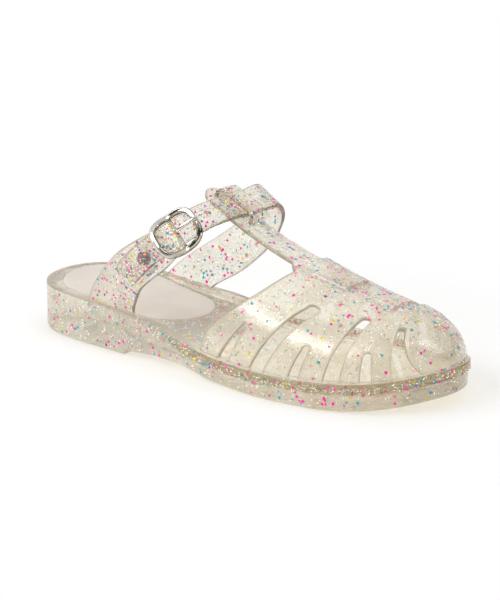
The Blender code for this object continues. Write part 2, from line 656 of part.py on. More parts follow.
def make_buckle(bar):
    """Bowed frame of rounded-square plan with the bar across its middle."""
    middle, along, across, out = bar
    sides, turns = FRAME_SIDES, FRAME_TURNS
    angle = np.linspace(0.0, 2.0 * np.pi, turns, endpoint=False)
    reach = 2.0 / FRAME_POWER
    u = FRAME_LONG * np.sign(np.cos(angle)) * np.abs(np.cos(angle)) ** reach
    v = FRAME_WIDE * np.sign(np.sin(angle)) * np.abs(np.sin(angle)) ** reach
    bow = FRAME_LIFT + (FRAME_RISE - FRAME_LIFT) * np.abs(u / FRAME_LONG) ** FRAME_BOW
    path = middle + np.outer(u, along) + np.outer(v, across) + np.outer(bow, out)
    run = np.roll(path, -1, 0) - np.roll(path, 1, 0)
    run /= np.linalg.norm(run, axis=1)[:, None]
    flat = np.cross(run, out)
    flat /= np.linalg.norm(flat, axis=1)[:, None]
    up = np.cross(flat, run)
    turn = np.linspace(0.0, 2.0 * np.pi, sides, endpoint=False)
    points = path[:, None, :] + flat[:, None, :] * (FRAME_BROAD * np.cos(turn))[None, :, None]
    points = points + up[:, None, :] * (FRAME_THICK * np.sin(turn))[None, :, None]
    faces = []
    for k in range(turns):
        faces += band(k * sides, ((k + 1) % turns) * sides, sides)
    frame = solid("buckle_frame", points.reshape(-1, 3), faces, "chrome")
    profile = ((BAR_RADIUS, -FRAME_WIDE), (BAR_RADIUS, FRAME_WIDE))
    cut(frame, turned("bar_shape", middle, across, along, profile, "chrome", BAR_SIDES), "UNION")
    return frame


def make_prong(bar):
    """Prong from the bar up through the strap's hole and over it to the frame's far end."""
    middle, along, across, out = bar
    seat = BAR_RADIUS + GAP + PRONG_RADIUS
    rest = FRAME_RISE + FRAME_THICK + GAP + PRONG_RADIUS
    rows = (
        # along, out
        (-0.1, seat), (0.5, seat + 1.9), (2.4, rest - 1.2), (7.0, rest - 0.1), (FRAME_LONG, rest),
        (FRAME_LONG + FRAME_BROAD, rest - 0.5))
    line = through(rows, 3)
    path = middle + np.outer(line[:, 0], along) + np.outer(line[:, 1], out)
    run = np.gradient(path, axis=0)
    run /= np.linalg.norm(run, axis=1)[:, None]
    up = np.cross(run, across)
    sides = PRONG_SIDES
    turn = np.linspace(0.0, 2.0 * np.pi, sides, endpoint=False)
    ring = across[None, None, :] * np.cos(turn)[None, :, None] + up[:, None, :] * np.sin(turn)[None, :, None]
    points = (path[:, None, :] + ring * PRONG_RADIUS).reshape(-1, 3)
    faces = []
    for k in range(len(path) - 1):
        faces += band(k * sides, (k + 1) * sides, sides)
    last = (len(path) - 1) * sides
    faces += [tuple(reversed(range(sides))), tuple(range(last, last + sides))]
    return solid("buckle_prong", points, faces, "chrome")


def make_rivet(tab, piece):
    """Rivet through the tab: a head on each face and a shank in a clear hole."""
    index = int(RIVET_ROW * STRAP_PER)
    centre, along, across, out = (a[index] for a in tab[:4])
    face = STRAP_WALL / 2.0 + GAP
    top = face + RIVET_HEAD
    small, side = RIVET_RADIUS - RIVET_CHAMFER, top - RIVET_CHAMFER
    profile = ((small, -top), (RIVET_RADIUS, -side), (RIVET_RADIUS, -face), (RIVET_SHANK, -face),
               (RIVET_SHANK, face), (RIVET_RADIUS, face), (RIVET_RADIUS, side), (small, top))
    hole = ((RIVET_SHANK + GAP, -RIVET_REACH), (RIVET_SHANK + GAP, RIVET_REACH))
    cut(piece, turned("rivet_hole", centre, out, along, hole, "clear"))
    return turned("rivet", centre, out, along, profile, "dark_metal")


def make_straps():
    """Instep strap, buckle tab, buckle, prong and rivet, each set out from the strap's own line."""
    strap = strap_frames(STRAP + (strap_foot(1),))
    bar = bar_frame(strap)
    middle, along, across, out = bar
    end = middle - out * (BAR_RADIUS + GAP + STRAP_WALL / 2.0)
    pitch = np.degrees(np.arcsin(-across[2]))
    tab = strap_frames((strap_foot(-1),) + TAB + ((*end, TAB_END_WIDTH, pitch),))
    instep = ribbon("instep_strap", round_tip(strap, TIP_ROUND), "clear")
    hole = ((HOLE_RADIUS, 0.0), (HOLE_RADIUS, HOLE_REACH))
    cut(instep, turned("prong_hole", middle + along * HOLE_SHIFT, out, along, hole, "clear"))
    buckle_tab = ribbon("buckle_tab", tab, "clear")
    make_rivet(tab, buckle_tab)
    make_buckle(bar)
    make_prong(bar)


clear_scene()
make_sole()
make_pad()
make_upper()
make_straps()
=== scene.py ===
"""Looks of the fisherman mule: clear soft plastic filled with coloured chips.

Each skin repeats the part's own tables with finer steps and rounded edges, so it lies on its solid.
Tables are in millimetres and meshes in metres.  +X points to the toe, +Y to the medial side, +Z up.
"""

import bmesh
import bpy
import numpy as np
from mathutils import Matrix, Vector
from mathutils.geometry import delaunay_2d_cdt


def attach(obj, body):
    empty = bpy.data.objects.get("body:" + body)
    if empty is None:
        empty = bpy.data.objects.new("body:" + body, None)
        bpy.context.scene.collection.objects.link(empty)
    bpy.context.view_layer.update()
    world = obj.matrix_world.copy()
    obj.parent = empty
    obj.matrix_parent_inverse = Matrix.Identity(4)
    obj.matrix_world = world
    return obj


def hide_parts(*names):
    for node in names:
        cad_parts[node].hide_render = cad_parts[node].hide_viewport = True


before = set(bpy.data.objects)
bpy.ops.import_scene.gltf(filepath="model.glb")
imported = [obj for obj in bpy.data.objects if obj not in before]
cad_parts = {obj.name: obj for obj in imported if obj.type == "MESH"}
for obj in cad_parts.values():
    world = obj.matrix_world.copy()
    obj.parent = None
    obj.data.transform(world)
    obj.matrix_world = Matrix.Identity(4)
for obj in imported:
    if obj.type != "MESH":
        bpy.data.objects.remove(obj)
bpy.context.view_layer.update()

MM = 0.001
TABLE_STEPS, LOOP_STEPS = 24, 60  # steps of a smooth curve between two rows of a table

# Sole
OUTLINE = (  # plan of the sole, lateral side first, from the heel round the toe
    # x, y
    (-130.0, 0.0), (-125.0, -18.5), (-110.0, -31.0), (-85.0, -35.5), (-50.0, -37.5), (-10.0, -42.0),
    (28.0, -46.5), (58.0, -46.5), (86.0, -41.0), (108.0, -30.0), (123.0, -13.0), (130.0, 6.0),
    (126.0, 24.0), (111.0, 37.5), (84.0, 45.0), (52.0, 46.5), (18.0, 41.0), (-16.0, 34.5),
    (-50.0, 32.0), (-85.0, 34.0), (-110.0, 30.0), (-125.0, 18.0))
OUTLINE_POINTS, PAD_POINTS = 2600, 1200  # points of the fine plan loops
HEIGHTS = (  # heights above the floor along the shoe
    # x, tread, rim, bed
    (-130.0, 0.6, 26.2, 26.0), (-118.0, 0.0, 25.8, 25.6), (-85.0, 0.0, 24.6, 24.0), (-52.0, 0.0, 23.2, 20.2),
    (-30.0, 1.8, 21.8, 18.4), (-8.0, 2.6, 17.4, 13.6), (12.0, 1.2, 14.6, 10.6), (45.0, 0.0, 13.6, 9.6),
    (82.0, 0.0, 14.2, 10.2), (108.0, 2.2, 16.4, 12.4), (130.0, 6.6, 20.6, 16.4))
HEEL_BREAST, BREAST_STEP, BREAST_RUN = -51.0, 2.2, 0.8  # x of the heel's front, its step and the step's run
WAIST_END, WAIST_FADE = 8.0, 40.0  # where the waist's lift ends, and the run over which it fades
RIM_BAND, RIM_STEP = 5.6, 1.3  # height of the side's upper band, and how far it stands proud
STEP_SLOPE, STEP_SUNK = 0.9, 0.6  # height of the face between the two bands, and its share below the edge
TIER_FADE = (-55.0, -29.0)  # stretch over which the side's step grows
LIP = 3.0  # the vamp stands this far in from the outline
BED_INSET = (3.4, 6.4)  # width of the whole rim at the heel and in front of it
BED_INSET_FADE = (-92.0, -83.0)  # stretch between the two widths
RIM_WALL = (  # inner side of the rim
    # plan run past its width, share of its height above the footbed
    (-0.6, 1.0), (-0.2, 0.96), (0.0, 0.84), (0.5, 0.28), (0.8, 0.08), (1.6, 0.0))
EDGE_ROUND, TREAD_ROUND = 1.0, 1.6  # rounds of the sole's upper and lower edge
ARC_POINTS = 6  # points on the round of a sole's or pad's edge
BAND_FADE = (-45.0, 5.0)  # stretch over which the heel's painted shade gives way to that in front
RING_PAINTED_SHADE = (  # shares of the painted shade on the sole's rings, counted from the tread up and over the rim: a dark band for inner reflection in the side's upper band in front, shade on the heel's rim and on the rim's inner wall, and the lower side darkened evenly
    # first, end, in front, at the heel, everywhere
    (2, 10, 0.0, 0.0, 0.22), (10, 11, 0.5, 0.0, 0.0), (11, 15, 1.0, 0.0, 0.0), (15, 16, 1.0, 0.4, 0.0),
    (16, 17, 0.4, 0.4, 0.0), (17, 18, 0.0, 0.4, 0.0), (18, 23, 0.0, 0.0, 0.55))
GROOVE_PITCH, GROOVE_DEPTH = 8.0, 0.2  # cross grooves of the tread
GROOVE_WAIST = (-56.0, -52.0, 8.0, 16.0)  # stretches over which they fade out and in again
CROSS_ROWS, PAD_ROWS = 260, 90  # rows across the sole and the pad from heel to toe
STRIPS = 14  # strips of a face between its two sides
END_REACH = (80.0 / 130.0, 50.0 / 130.0)  # shares of the half length: start and run of the ends' inset

# Heel pad
PAD = (  # outline of the pad under the heel and arch
    # x, y
    (-122.2, 3.0), (-118.6, -10.0), (-111.0, -20.4), (-102.0, -25.4), (-91.0, -27.6), (-80.0, -27.4),
    (-58.0, -27.2), (-40.0, -25.0), (-29.0, -14.0), (-26.0, 1.0), (-31.0, 14.0), (-43.0, 21.0), (-60.0, 23.0),
    (-82.0, 25.0), (-103.0, 25.0), (-117.0, 18.0))
PAD_DEPTH, PAD_STAND, PAD_ROUND = 1.2, 0.7, 1.2  # reach below and above the footbed, and round of its edge

# Last and vamp
CROWN = (  # ridge of the upper: place across the shoe and height of its outer face
    # x, ridge, crown
    (-34.0, 4.0, 90.0), (-24.0, 4.0, 86.0), (0.0, 4.0, 74.5), (20.0, 4.0, 66.0), (43.0, 4.0, 58.2),
    (60.0, 4.4, 53.4), (76.0, 5.0, 49.2), (92.0, 5.6, 46.4), (110.0, 6.4, 45.0), (130.0, 7.0, 44.0))
RIDGE_FROM, RIDGE_TURN = -40.0, 120.0  # start of the walk along the ridge, and where its steps get finer
RIDGE_STEPS, TOE_STEPS = 400, 200  # points before and after that
TIP_GAP = 0.02  # the rim's two sides stop this far from the toe's tip
TOE_ROUND_FROM, TOE_ROUND_POWER = 86.0, 2.6  # where the ridge starts to round down, and how full
SIDE_POWER, TOP_POWER = 2.25, 2.0  # fullness of the cross sections
WALL = 2.4  # of the upper
SUNK = 0.2  # how far a foot of the upper reaches into the rim
COLLAR = (  # rear edge of the vamp, from the lip up to the T-bar: angle 90 is the lip
    # x, angle
    (5.0, 90.0), (10.0, 78.0), (18.0, 68.0), (26.0, 58.0), (33.0, 47.0), (38.5, 34.0), (42.0, 18.0))
SLOTS = (  # gaps between the bands, open at the lip
    # rear_x, front_x, top_x, top_angle, top_width
    (18.5, 25.0, 34.0, 64.0, 3.4),
    (40.0, 48.5, 65.0, 35.0, 6.4),
    (63.5, 69.0, 71.0, 65.0, 3.8),
    (82.0, 90.0, 91.5, 30.0, 4.6),
    (99.5, 104.5, 100.8, 62.0, 3.6),
    (112.5, 121.5, 108.6, 30.0, 2.4))
MM_PER_DEGREE = 0.75  # arc length of a degree across the vamp
TBAR_HALF, TBAR_ROOT, TBAR_END = 9.5, 36.5, -26.0  # half width, and x of its root and of the tongue's end
WEAVE = (  # raised crossings of the woven spine: lift and plan corners
    # lift, rear_x, front_x, rear_half, front_half
    (1.7, 43.0, 70.0, 11.5, 8.5),
    (1.1, 83.0, 97.0, 9.0, 10.0))
WEAVE_STEP = (  # rounded face of a crossing's step
    # grow, share of the lift
    (0.8, 0.0), (0.4, 0.2), (0.0, 0.8), (-0.5, 1.0))
CAP_LIFT, CAP_REAR, CAP_RUN = 1.2, 100.0, 1.1  # step of the toe cap
CAP_ROWS, CAP_SPREAD, CAP_ARCS = 6, 1.2, (-60.0, 60.1, 2.0)  # corners set along that step
EDGE_RADIUS, EDGE_LEFT = 1.5, 0.3  # rounding of the vamp's edges, and the share of wall left flat there
EDGE_SHADE = 0.75  # share of the painted shade at the very edge
EDGE_INSETS = (0.2, 0.55, 1.0, 1.6)  # rows of corners beside an edge
PATTERN_STEP, EDGE_STEP = 2.2, 1.3  # spacing of the corners inside the pattern and on its edge
FIELD_MARGINS = (1.2, 1.0)  # bare strips of the pattern along its two lips
MERGE, TINY, BLOCK = 1e-6, 1e-9, 1500  # corners closer than this are one; least rise; places tested at once
PATTERN_GAPS = (0.18, 0.5, 1.1)  # least distances of the edge's, the cap's and the field's corners to others
EDGE_REACH, STAND_REACH = 0.5, 0.4  # arc above the lip where free edges start, and where feet end
LIP_STEPS, COLLAR_STEPS, SLOT_ROUND, TBAR_STEPS, TONGUE_ROUND = 200, 9, 13, 44, 25  # points of its edges
WEAVE_SIDE, WEAVE_END, WEAVE_MARGIN = 24, 14, 0.05  # points of a crossing's loop, and its slack

# Keeper loop over the instep strap
KEEPER_REAR, KEEPER_FRONT = -20.5, 4.5  # x of its two feet
KEEPER_LOW, KEEPER_HIGH = -3.5, 9.0  # its edges, measured from the ridge
KEEPER_RISE, KEEPER_WALL, KEEPER_SUNK, KEEPER_BEND = 3.6, 2.2, 1.4, 3.4  # room, wall, depth of feet, bends

# Straps
STRAP_WALL = 2.4
STRAP_EDGE, KEEPER_EDGE = 1.1, 1.0  # depth of the rounds along their edges
BEND_STEPS, FLAT_STEPS = 9, 11  # points on a strap edge's round or a keeper's bend, and across the flat
FOOT_REAR, FOOT_FRONT = -80.0, -47.0  # x of the ends of a strap's foot on the rim
STRAP = (  # instep strap from its free end over the bar and the instep down the medial side
    # x, y, z, width, pitch
    (-46.5, -41.4, 43.8, 14.4, 42.0), (-40.0, -41.4, 50.6, 14.8, 42.0), (-31.0, -39.6, 59.4, 14.8, 43.0),
    (-18.4, -31.2, 70.4, 14.8, 45.0), (-13.0, -20.0, 76.4, 15.6, 35.0), (-8.6, -8.0, 79.5, 17.2, 25.6),
    (-7.2, 4.0, 79.9, 18.0, 25.6), (-7.0, 15.0, 80.2, 18.2, 25.6), (-6.4, 27.6, 80.8, 18.8, 30.0),
    (-9.0, 34.2, 73.4, 20.0, 36.0), (-19.0, 36.0, 59.0, 22.0, 40.0), (-37.0, 34.6, 43.6, 24.6, 36.0),
    (-55.0, 30.4, 31.0, 29.0, 16.0))
TAB = (  # buckle tab above its foot on the lateral lip
    # x, y, z, width, pitch
    (-60.0, -33.6, 31.0, 30.0, 14.0), (-50.0, -36.2, 43.0, 25.0, 34.0), (-42.0, -37.0, 50.2, 23.4, 41.0),
    (-30.0, -35.0, 59.0, 21.6, 41.0))
TAB_END_WIDTH, TIP_ROUND = 15.0, 3.0  # width of the tab's end; rounding of the strap's two end corners
STRAP_PER, BAR_ROW = 14, 3  # steps between two rows of a strap, and the strap's row over the bar
BAR_CLEAR, BAR_GAP = 0.4, 0.3  # gap of the strap over the bar, and of the tab and prong to the bar
HOLE_RADIUS, HOLE_AHEAD, HOLE_UP = 2.0, 0.4, 4.0  # the prong's hole, placed from the middle of the bar
SPARE_HOLE_ROW, SPARE_HOLE_RADIUS = 4.45, 1.5  # the open hole
DRILL_SIDES, DRILL_REACH, SHARP_ANGLE = 24, 4.0, 50.0  # of the holes' drill, and angle of edges kept sharp
ASKEW = (0.3, 0.5, 0.8)  # a direction that no hole runs along

# Buckle
FRAME_LONG, FRAME_WIDE, FRAME_POWER = 11.6, 9.9, 3.1  # half length, half width and squareness
FRAME_LIFT, FRAME_RISE, FRAME_BOW = 1.2, 4.8, 1.4  # height over the bar at its middle and ends, and bow
FRAME_THICK, FRAME_BROAD = 1.2, 1.55  # halves of its section
FRAME_STEPS = 160
FRAME_SECTION = (  # shares of the broad and of the thick half: flat face, wide bevels, upright sides
    (-0.9, -1.0), (0.9, -1.0), (1.0, -0.8), (1.0, 0.2), (0.82, 0.49), (0.5, 1.0), (0.0, 0.9), (-0.5, 1.0),
    (-0.82, 0.49), (-1.0, 0.2), (-1.0, -0.8))
FRAME_EASE = 0.12  # rounding of its corners
FRAME_DARK, FRAME_DARK_FROM = 0.85, 0.88  # share of the painted dark reflection on its edges, and the share of the broad where it starts
BAR_POWER, BAR_FLAT, BAR_LEAN = 3.4, 0.8, -0.22  # squareness, height and lean of the bar's section
BAR_RADIUS, BAR_SIDES, BAR_STEPS = 1.2, 24, 12
PRONG_RADIUS, PRONG_SIDES, PRONG_POWER, PRONG_STEPS = 1.0, 20, 2.4, 12
RIVET_RADIUS, RIVET_HEAD, RIVET_ROW, RIVET_CLEAR = 3.4, 0.9, 3.6, 0.1
RIVET_SIDES = 40
RIVET_PROFILE = (  # shares of the radius and of the head's height
    (0.30, 0.28), (0.50, 0.33), (0.70, 0.83), (0.83, 1.0), (0.95, 0.83), (1.0, 0.44), (0.97, 0.06),
    (0.43, 0.0))

# Chips and specks in the plastic; counts are those in the upper, strap, tab, keeper and sole
CHIP_SEED = 41
SHOWN, SHOWN_TILT = 0.55, 0.03  # share of chips and specks that lie at a face of the plastic, and their tilt
CHIP_THICK, CHIP_RAGGED = 0.08, (0.72, 1.12)  # thickness, and shares of the radius at the corners
CHIP_COUNTS = (400, 215, 110, 26, 950)
# the last is painted light: chips give off a little light in their own colour, lit or not
CHIP_SIZE, CHIP_SIDES, CHIP_TILT, CHIP_PAINTED_GLOW = (1.2, 2.0), 6, 0.45, 0.12
CHIP_CROWD, CHIP_BANDED = 4.5, 0.25  # how they crowd on the spine, and their share in the side's upper band
CHIP_KINDS = (  # coloured chips
    # name, share of all, pale, deep
    ("pink", 0.50, "f01aa0", "dc128c"),
    ("teal", 0.27, "00a4b8", "008aa6"),
    ("yellow", 0.17, "e0c800", "ccb000"),
    ("violet", 0.06, "7c48b0", "5d3595"))
SPECK_SIDES, SPECK_TILT, SPECK_CROWD, SPECK_BANDED = 4, 0.8, 1.3, 0.6
SPECK_KINDS = (  # fine specks; the silver ones sparkle by painted light of their own
    # name, counts, pale, deep, metallic, painted light of their own, low size, high size
    ("silver", (800, 350, 180, 40, 3200), "fffdf6", "f1ede2", 0.2, 1.0, 0.32, 0.55),
    ("dark", (2300, 1200, 500, 70, 3100), "3c3528", "1c1810", 0.0, 0.0, 0.4, 0.64))
SPINE_ARC = 15.0  # half width of the crowded spine on the pattern
WHOLE_WALL, WALL_DEPTHS = 0.98, (0.15, 0.85)  # wall that takes chips, and shares of it where inner ones lie
STRAP_MARGIN, STRAP_COVER = 1.4, 0.4  # bare edge of a strap, and plastic over its inner chips
BAND_MARGIN = 0.5  # bare lower edge of the side's upper band
BED_MARGIN, BED_STRETCH, BED_REAR_SHARE = 8.5, (-122.0, 14.0, 122.0), 0.8  # footbed's chips, most in the rear
SIDE_DEEP, BED_DEEP, BED_COVER = (0.7, 4.0), (1.8, 3.0), 0.6  # least depths under the faces, and their spread

# Finishes
PAINTED_SHADE_TINT, FRAME_PAINTED_REFLECTION = "b5a98b", "2c281c"  # painted shade at the plastic's edges, and painted dark reflection on the frame's edges
SHADOW_TINT, INSIDE_TINT = "f6f5f2", "f2eee0"  # lamps' light let through, and light far inside the plastic
PLASTIC_IOR, PLASTIC_SCALES, PLASTIC_BUMP = 1.47, (60.0, 380.0), (0.3, 0.0008)
PLASTICS = (
    # name, colours, clear share, roughness, density
    ("clear strap plastic", ("f6f4ec", "eeeadf"), 0.90, (0.06, 0.14), 20.0),
    ("cream vamp plastic", ("f3efe3", "eae5d7"), 0.73, (0.09, 0.2), 15.0),
    ("hazy sole plastic", ("f8f6ef", "ece6d8"), 0.73, (0.07, 0.17), 16.0))
OPAQUE = (
    # name, colours, cloud and grain scale, roughness, bump strength and distance, constants
    ("insole pad", ("dbd3ca", "d4cbc2"), (45.0, 1500.0), (0.55, 0.75), (0.25, 0.0003),
     {"Specular IOR Level": 0.35}),
    ("polished chrome", ("e6e3da", "d3cfc3"), (240.0, 1600.0), (0.01, 0.025), (0.05, 0.0002),
     {"Metallic": 1.0}),
    ("dark rivet metal", ("2e2a24", "120f0a"), (400.0, 1800.0), (0.2, 0.38), (0.15, 0.0002),
     {"Metallic": 0.4}))
CHIP_SCALES, CHIP_ROUGH, CHIP_BUMP = (700.0, 1800.0), (0.25, 0.5), (0.1, 0.0001)
GROUP_SOCKETS = (  # of the shared surface
    ("INPUT", "NodeSocketColor", ("Pale", "Deep", "Shade Colour")),
    ("INPUT", "NodeSocketFloat", ("Cloud Scale", "Grain Scale", "Smooth", "Dull", "Shade")),
    ("OUTPUT", "NodeSocketColor", ("Colour",)),
    ("OUTPUT", "NodeSocketFloat", ("Roughness", "Height")))
CLOUD_DETAIL, CLOUD_RANGE = 3.0, (0.35, 0.65)
GRAIN_DETAIL, GRAIN_RANGE = 2.0, (0.3, 0.7)
GRAIN_SHARE = 0.15  # share of the grain in the surface's height

# Stage and camera, in metres
FLOOR_HALF, FLOOR_DROP = 6.0, 0.0004
FLOOR_LOOK = {"Base Color": (0.93, 0.93, 0.925, 1.0), "Roughness": 0.9, "Specular IOR Level": 0.1}
GLOW_FROM = (0.13, 0.21)  # distances over which the floor turns white for the camera
SKY_RANGE = (0.30, 0.80)  # heights of a direction between the low and the high sky
SKY_LOW, SKY_LOW_MIRRORED, SKY_HIGH = 0.25, 0.05, 0.80
FIRST_BOUNCE, ANY_MIRROR = 1.5, 0.5  # a ray depth below, and a glossy depth above
BACKDROP, BACKDROP_RANGE = (-0.643, 0.766, 0.0), (0.35, 0.75)  # its direction and the cosines of its edge
BACKDROP_LEVEL, BACKDROP_MIRRORED = 0.9, 0.06  # the second in first reflections, as beside a dark card
SOFT_BOXES = (
    # name, place, size, power
    ("key box", (-0.36, -0.82, 0.80), (1.2, 0.5), 6.5),
    ("key core", (-0.35, -0.80, 0.76), (0.9, 0.2), 2.5),
    ("toe box", (1.05, 0.30, 0.75), (0.4, 0.7), 2.5))
BOX_AIM = (0.0, 0.0, 0.03)
VIEW_TURN, VIEW_RISE, VIEW_FAR = 40.0, 18.0, 1.1  # camera azimuth, elevation and distance
VIEW_AIM = (0.0034, 0.030)  # aim right of and above the origin, seen from the camera
LENS, SENSOR = 126.0, 36.0


def through(points, per, closed=False):
    """Catmull-Rom curve through the rows, with per samples on each stretch."""
    p = np.asarray(points, float)
    if closed:
        a, b, c, d = np.roll(p, 1, 0), p, np.roll(p, -1, 0), np.roll(p, -2, 0)
    else:
        longer = np.vstack([2 * p[0] - p[1], p, 2 * p[-1] - p[-2]])
        a, b, c, d = longer[:-3], longer[1:-2], longer[2:-1], longer[3:]
    t = np.linspace(0.0, 1.0, per, endpoint=False)[None, :, None]
    a, b, c, d = (q[:, None] for q in (a, b, c, d))
    bend, twist = 2 * a - 5 * b + 4 * c - d, 3 * b - a - 3 * c + d
    curve = 0.5 * (2 * b + (c - a) * t + bend * t ** 2 + twist * t ** 3)
    curve = curve.reshape(-1, p.shape[1])
    return curve if closed else np.vstack([curve, p[-1]])


def column(table, x, k):
    """Smooth value of column k of a table at x, its first column."""
    fine = through(table, TABLE_STEPS)
    return np.interp(x, fine[:, 0], fine[:, k])


def walked(line):
    """Length walked along a line at each of its points."""
    return np.concatenate([[0.0], np.cumsum(np.linalg.norm(np.diff(line, axis=0), axis=1))])


def resampled(line, count):
    """The open line at count equal steps."""
    walk = walked(line)
    at = np.linspace(0.0, walk[-1], count)
    return np.column_stack([np.interp(at, walk, line[:, k]) for k in range(line.shape[1])])


def fine_loop(table, count):
    """Closed curve through a plan table, at count even steps."""
    return resampled(np.vstack([through(table, LOOP_STEPS, closed=True), table[:1]]), count + 1)[:-1]


def unit(v):
    """Vectors divided by their lengths."""
    return v / np.linalg.norm(v, axis=-1, keepdims=True)


def smooth_step(x, low, high):
    """0 below low, 1 above high, and 3 t squared less 2 t cubed between them."""
    t = np.clip((x - low) / (high - low), 0.0, 1.0)
    return t * t * (3.0 - 2.0 * t)


def full_turn(count):
    """Angles of count even steps round a circle."""
    return np.linspace(0.0, 2.0 * np.pi, count, endpoint=False)


def part_turn(first, last, count):
    """Even angles from the first to the last, given in degrees."""
    return np.radians(np.linspace(first, last, count))


def quads(index):
    """Quads between the neighbouring rows and columns of an index grid."""
    corners = (index[:-1, :-1], index[1:, :-1], index[1:, 1:], index[:-1, 1:])
    return np.stack(corners, -1).reshape(-1, 4).tolist()


def ring_index(rows, count):
    """Index grid of stacked rings, with the first column again at the end."""
    index = np.arange(rows * count).reshape(rows, count)
    return np.hstack([index, index[:, :1]])


def tube(rows, count):
    """Faces of stacked rings with flat ends."""
    ends = [list(range(start, start + count)) for start in (0, (rows - 1) * count)]
    return quads(ring_index(rows, count)) + ends


def linked(name, data):
    """New object of the scene with this data."""
    made = bpy.data.objects.new(name, data)
    bpy.context.scene.collection.objects.link(made)
    return made


def mesh_of(name, points, faces):
    """Mesh from points in millimetres."""
    mesh = bpy.data.meshes.new(name)
    mesh.from_pydata((np.asarray(points) * MM).tolist(), [], faces)
    return mesh


def closed_mesh(name, points, faces):
    """Mesh from points in millimetres, with its faces turned outwards."""
    mesh = mesh_of(name, points, faces)
    shape = bmesh.new()
    shape.from_mesh(mesh)
    bmesh.ops.recalc_face_normals(shape, faces=shape.faces)
    shape.to_mesh(mesh)
    shape.free()
    return mesh


def piece_of(mesh, finish):
    """Piece of this mesh that rides the shoe."""
    mesh.materials.append(finish)
    piece = linked(mesh.name, mesh)
    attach(piece, "root")
    return piece


def skin(name, points, faces, finish, covers=()):
    """Smooth closed piece that stands in for the nodes it covers."""
    mesh = closed_mesh(name, points, faces)
    mesh.shade_smooth()
    piece = piece_of(mesh, finish)
    if covers:
        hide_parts(*covers)
    return piece


def shaded(piece, share):
    """The piece with a share of the painted shade at each of its points."""
    piece.data.attributes.new("shade", "FLOAT", "POINT").data.foreach_set("value", np.ravel(share))
    return piece


def drilled(piece, centre, axis, radius):
    """The piece with a round hole: a many-sided rod along the axis is taken from its mesh."""
    side = unit(np.cross(axis, ASKEW))
    turn = full_turn(DRILL_SIDES)
    ring = centre + radius * (np.outer(np.cos(turn), side) + np.outer(np.sin(turn), np.cross(axis, side)))
    points = np.vstack([ring - axis * DRILL_REACH, ring + axis * DRILL_REACH])
    drill = linked("drill", closed_mesh("drill", points, tube(2, DRILL_SIDES)))
    step = piece.modifiers.new("hole", "BOOLEAN")
    step.object = drill
    step.operation = "DIFFERENCE"
    holed = bpy.data.meshes.new_from_object(piece.evaluated_get(bpy.context.evaluated_depsgraph_get()))
    piece.modifiers.clear()
    piece.data = holed
    holed.shade_smooth()
    holed.set_sharp_from_angle(angle=np.radians(SHARP_ANGLE))
    bpy.data.objects.remove(drill, do_unlink=True)
    return piece


# Sole skin

FINE_OUTLINE, FINE_PAD = fine_loop(OUTLINE, OUTLINE_POINTS), fine_loop(PAD, PAD_POINTS)


def inward_of(loop):
    """Unit normals of a plan loop, to the left of its run, which is inwards."""
    along = unit(np.roll(loop, -1, 0) - np.roll(loop, 1, 0))
    return np.column_stack([-along[:, 1], along[:, 0]])


def sides_of(loop, inset):
    """Lateral and medial line, heel to toe, of a plan loop drawn in by one inset or one for each point."""
    moved = loop + inward_of(loop) * np.broadcast_to(inset, len(loop))[:, None]
    heel, toe = int(np.argmin(moved[:, 0])), int(np.argmax(moved[:, 0]))
    moved = np.roll(moved, -heel, 0)
    split = (toe - heel) % len(loop)
    return moved[:split + 1], np.vstack([moved[split:], moved[:1]])[::-1]


def side_y(line, x):
    """y of a heel-to-toe line at x."""
    return np.interp(x, np.maximum.accumulate(line[:, 0]), line[:, 1])


def cross_rows(low, high, first, last, rows, fixed):
    """x of the cross rows between first and last: spaced by a cosine, with rows on fixed places.

    The ends give way to the drawn-in outline's own ends, low and high, and the middle stays.
    """
    middle, half = (first + last) / 2.0, (last - first) / 2.0
    x = middle - half * np.cos(np.linspace(0.0, np.pi, rows + 1))
    for place in fixed:
        x[int(np.argmin(np.abs(x - place)))] = place
    start, run = END_REACH[0] * half, END_REACH[1] * half
    rear = np.clip((middle - x - start) / run, 0.0, 1.0) ** 2
    front = np.clip((x - middle - start) / run, 0.0, 1.0) ** 2
    return x + (low - first) * rear + (high - last) * front


def plan_ring(loop, inset, rows, fixed):
    """Plan ring of a loop drawn in by inset: heel to toe on the lateral side, then back on the medial."""
    lateral, medial = sides_of(loop, inset)
    x = cross_rows(lateral[0, 0], lateral[-1, 0], loop[:, 0].min(), loop[:, 0].max(), rows, fixed)
    near, far = (np.column_stack([x, side_y(side, x)]) for side in (lateral, medial))
    return np.vstack([near, far[-2:0:-1]])


def stacked(loop, levels, rows, fixed=()):
    """Rings of a plan loop, one for each level: its inset, a height over x and an offset from that."""
    rings = []
    for inset, height, offset in levels:
        ring = plan_ring(loop, inset, rows, fixed)
        rings.append(np.column_stack([ring, height(ring[:, 0]) + offset]))
    return rings


def plate(rings, low, high):
    """Points and faces of a closed plate: stacked rings from the lower to the upper face.

    Both faces are filled by straight strips between the two sides of each cross row, at the heights
    that low and high give over x.
    """
    rows, count = len(rings), len(rings[0])
    half = count // 2
    around = ring_index(rows, count)
    points, faces, start = [np.vstack(rings)], quads(around), rows * count
    share = np.linspace(0.0, 1.0, STRIPS + 1)[1:-1][None, :, None]
    for ring, index, height in ((rings[0], around[0], low), (rings[-1], around[-1], high)):
        near, far = ring[1:half, None], ring[:half:-1, None]
        inner = near * (1.0 - share) + far * share
        inner[..., 2] = height(inner[..., 0])
        grid = start + np.arange(inner[..., 0].size).reshape(inner.shape[:2])
        grid = np.hstack([index[1:half, None], grid, index[half + 1:count][::-1, None]])
        faces += quads(grid)
        for tip, row in ((index[0], grid[0]), (index[half], grid[-1])):
            faces += np.column_stack([np.full(STRIPS, tip), row[:-1], row[1:]]).tolist()
        points.append(inner.reshape(-1, 3))
        start += inner[..., 0].size
    return np.vstack(points), faces


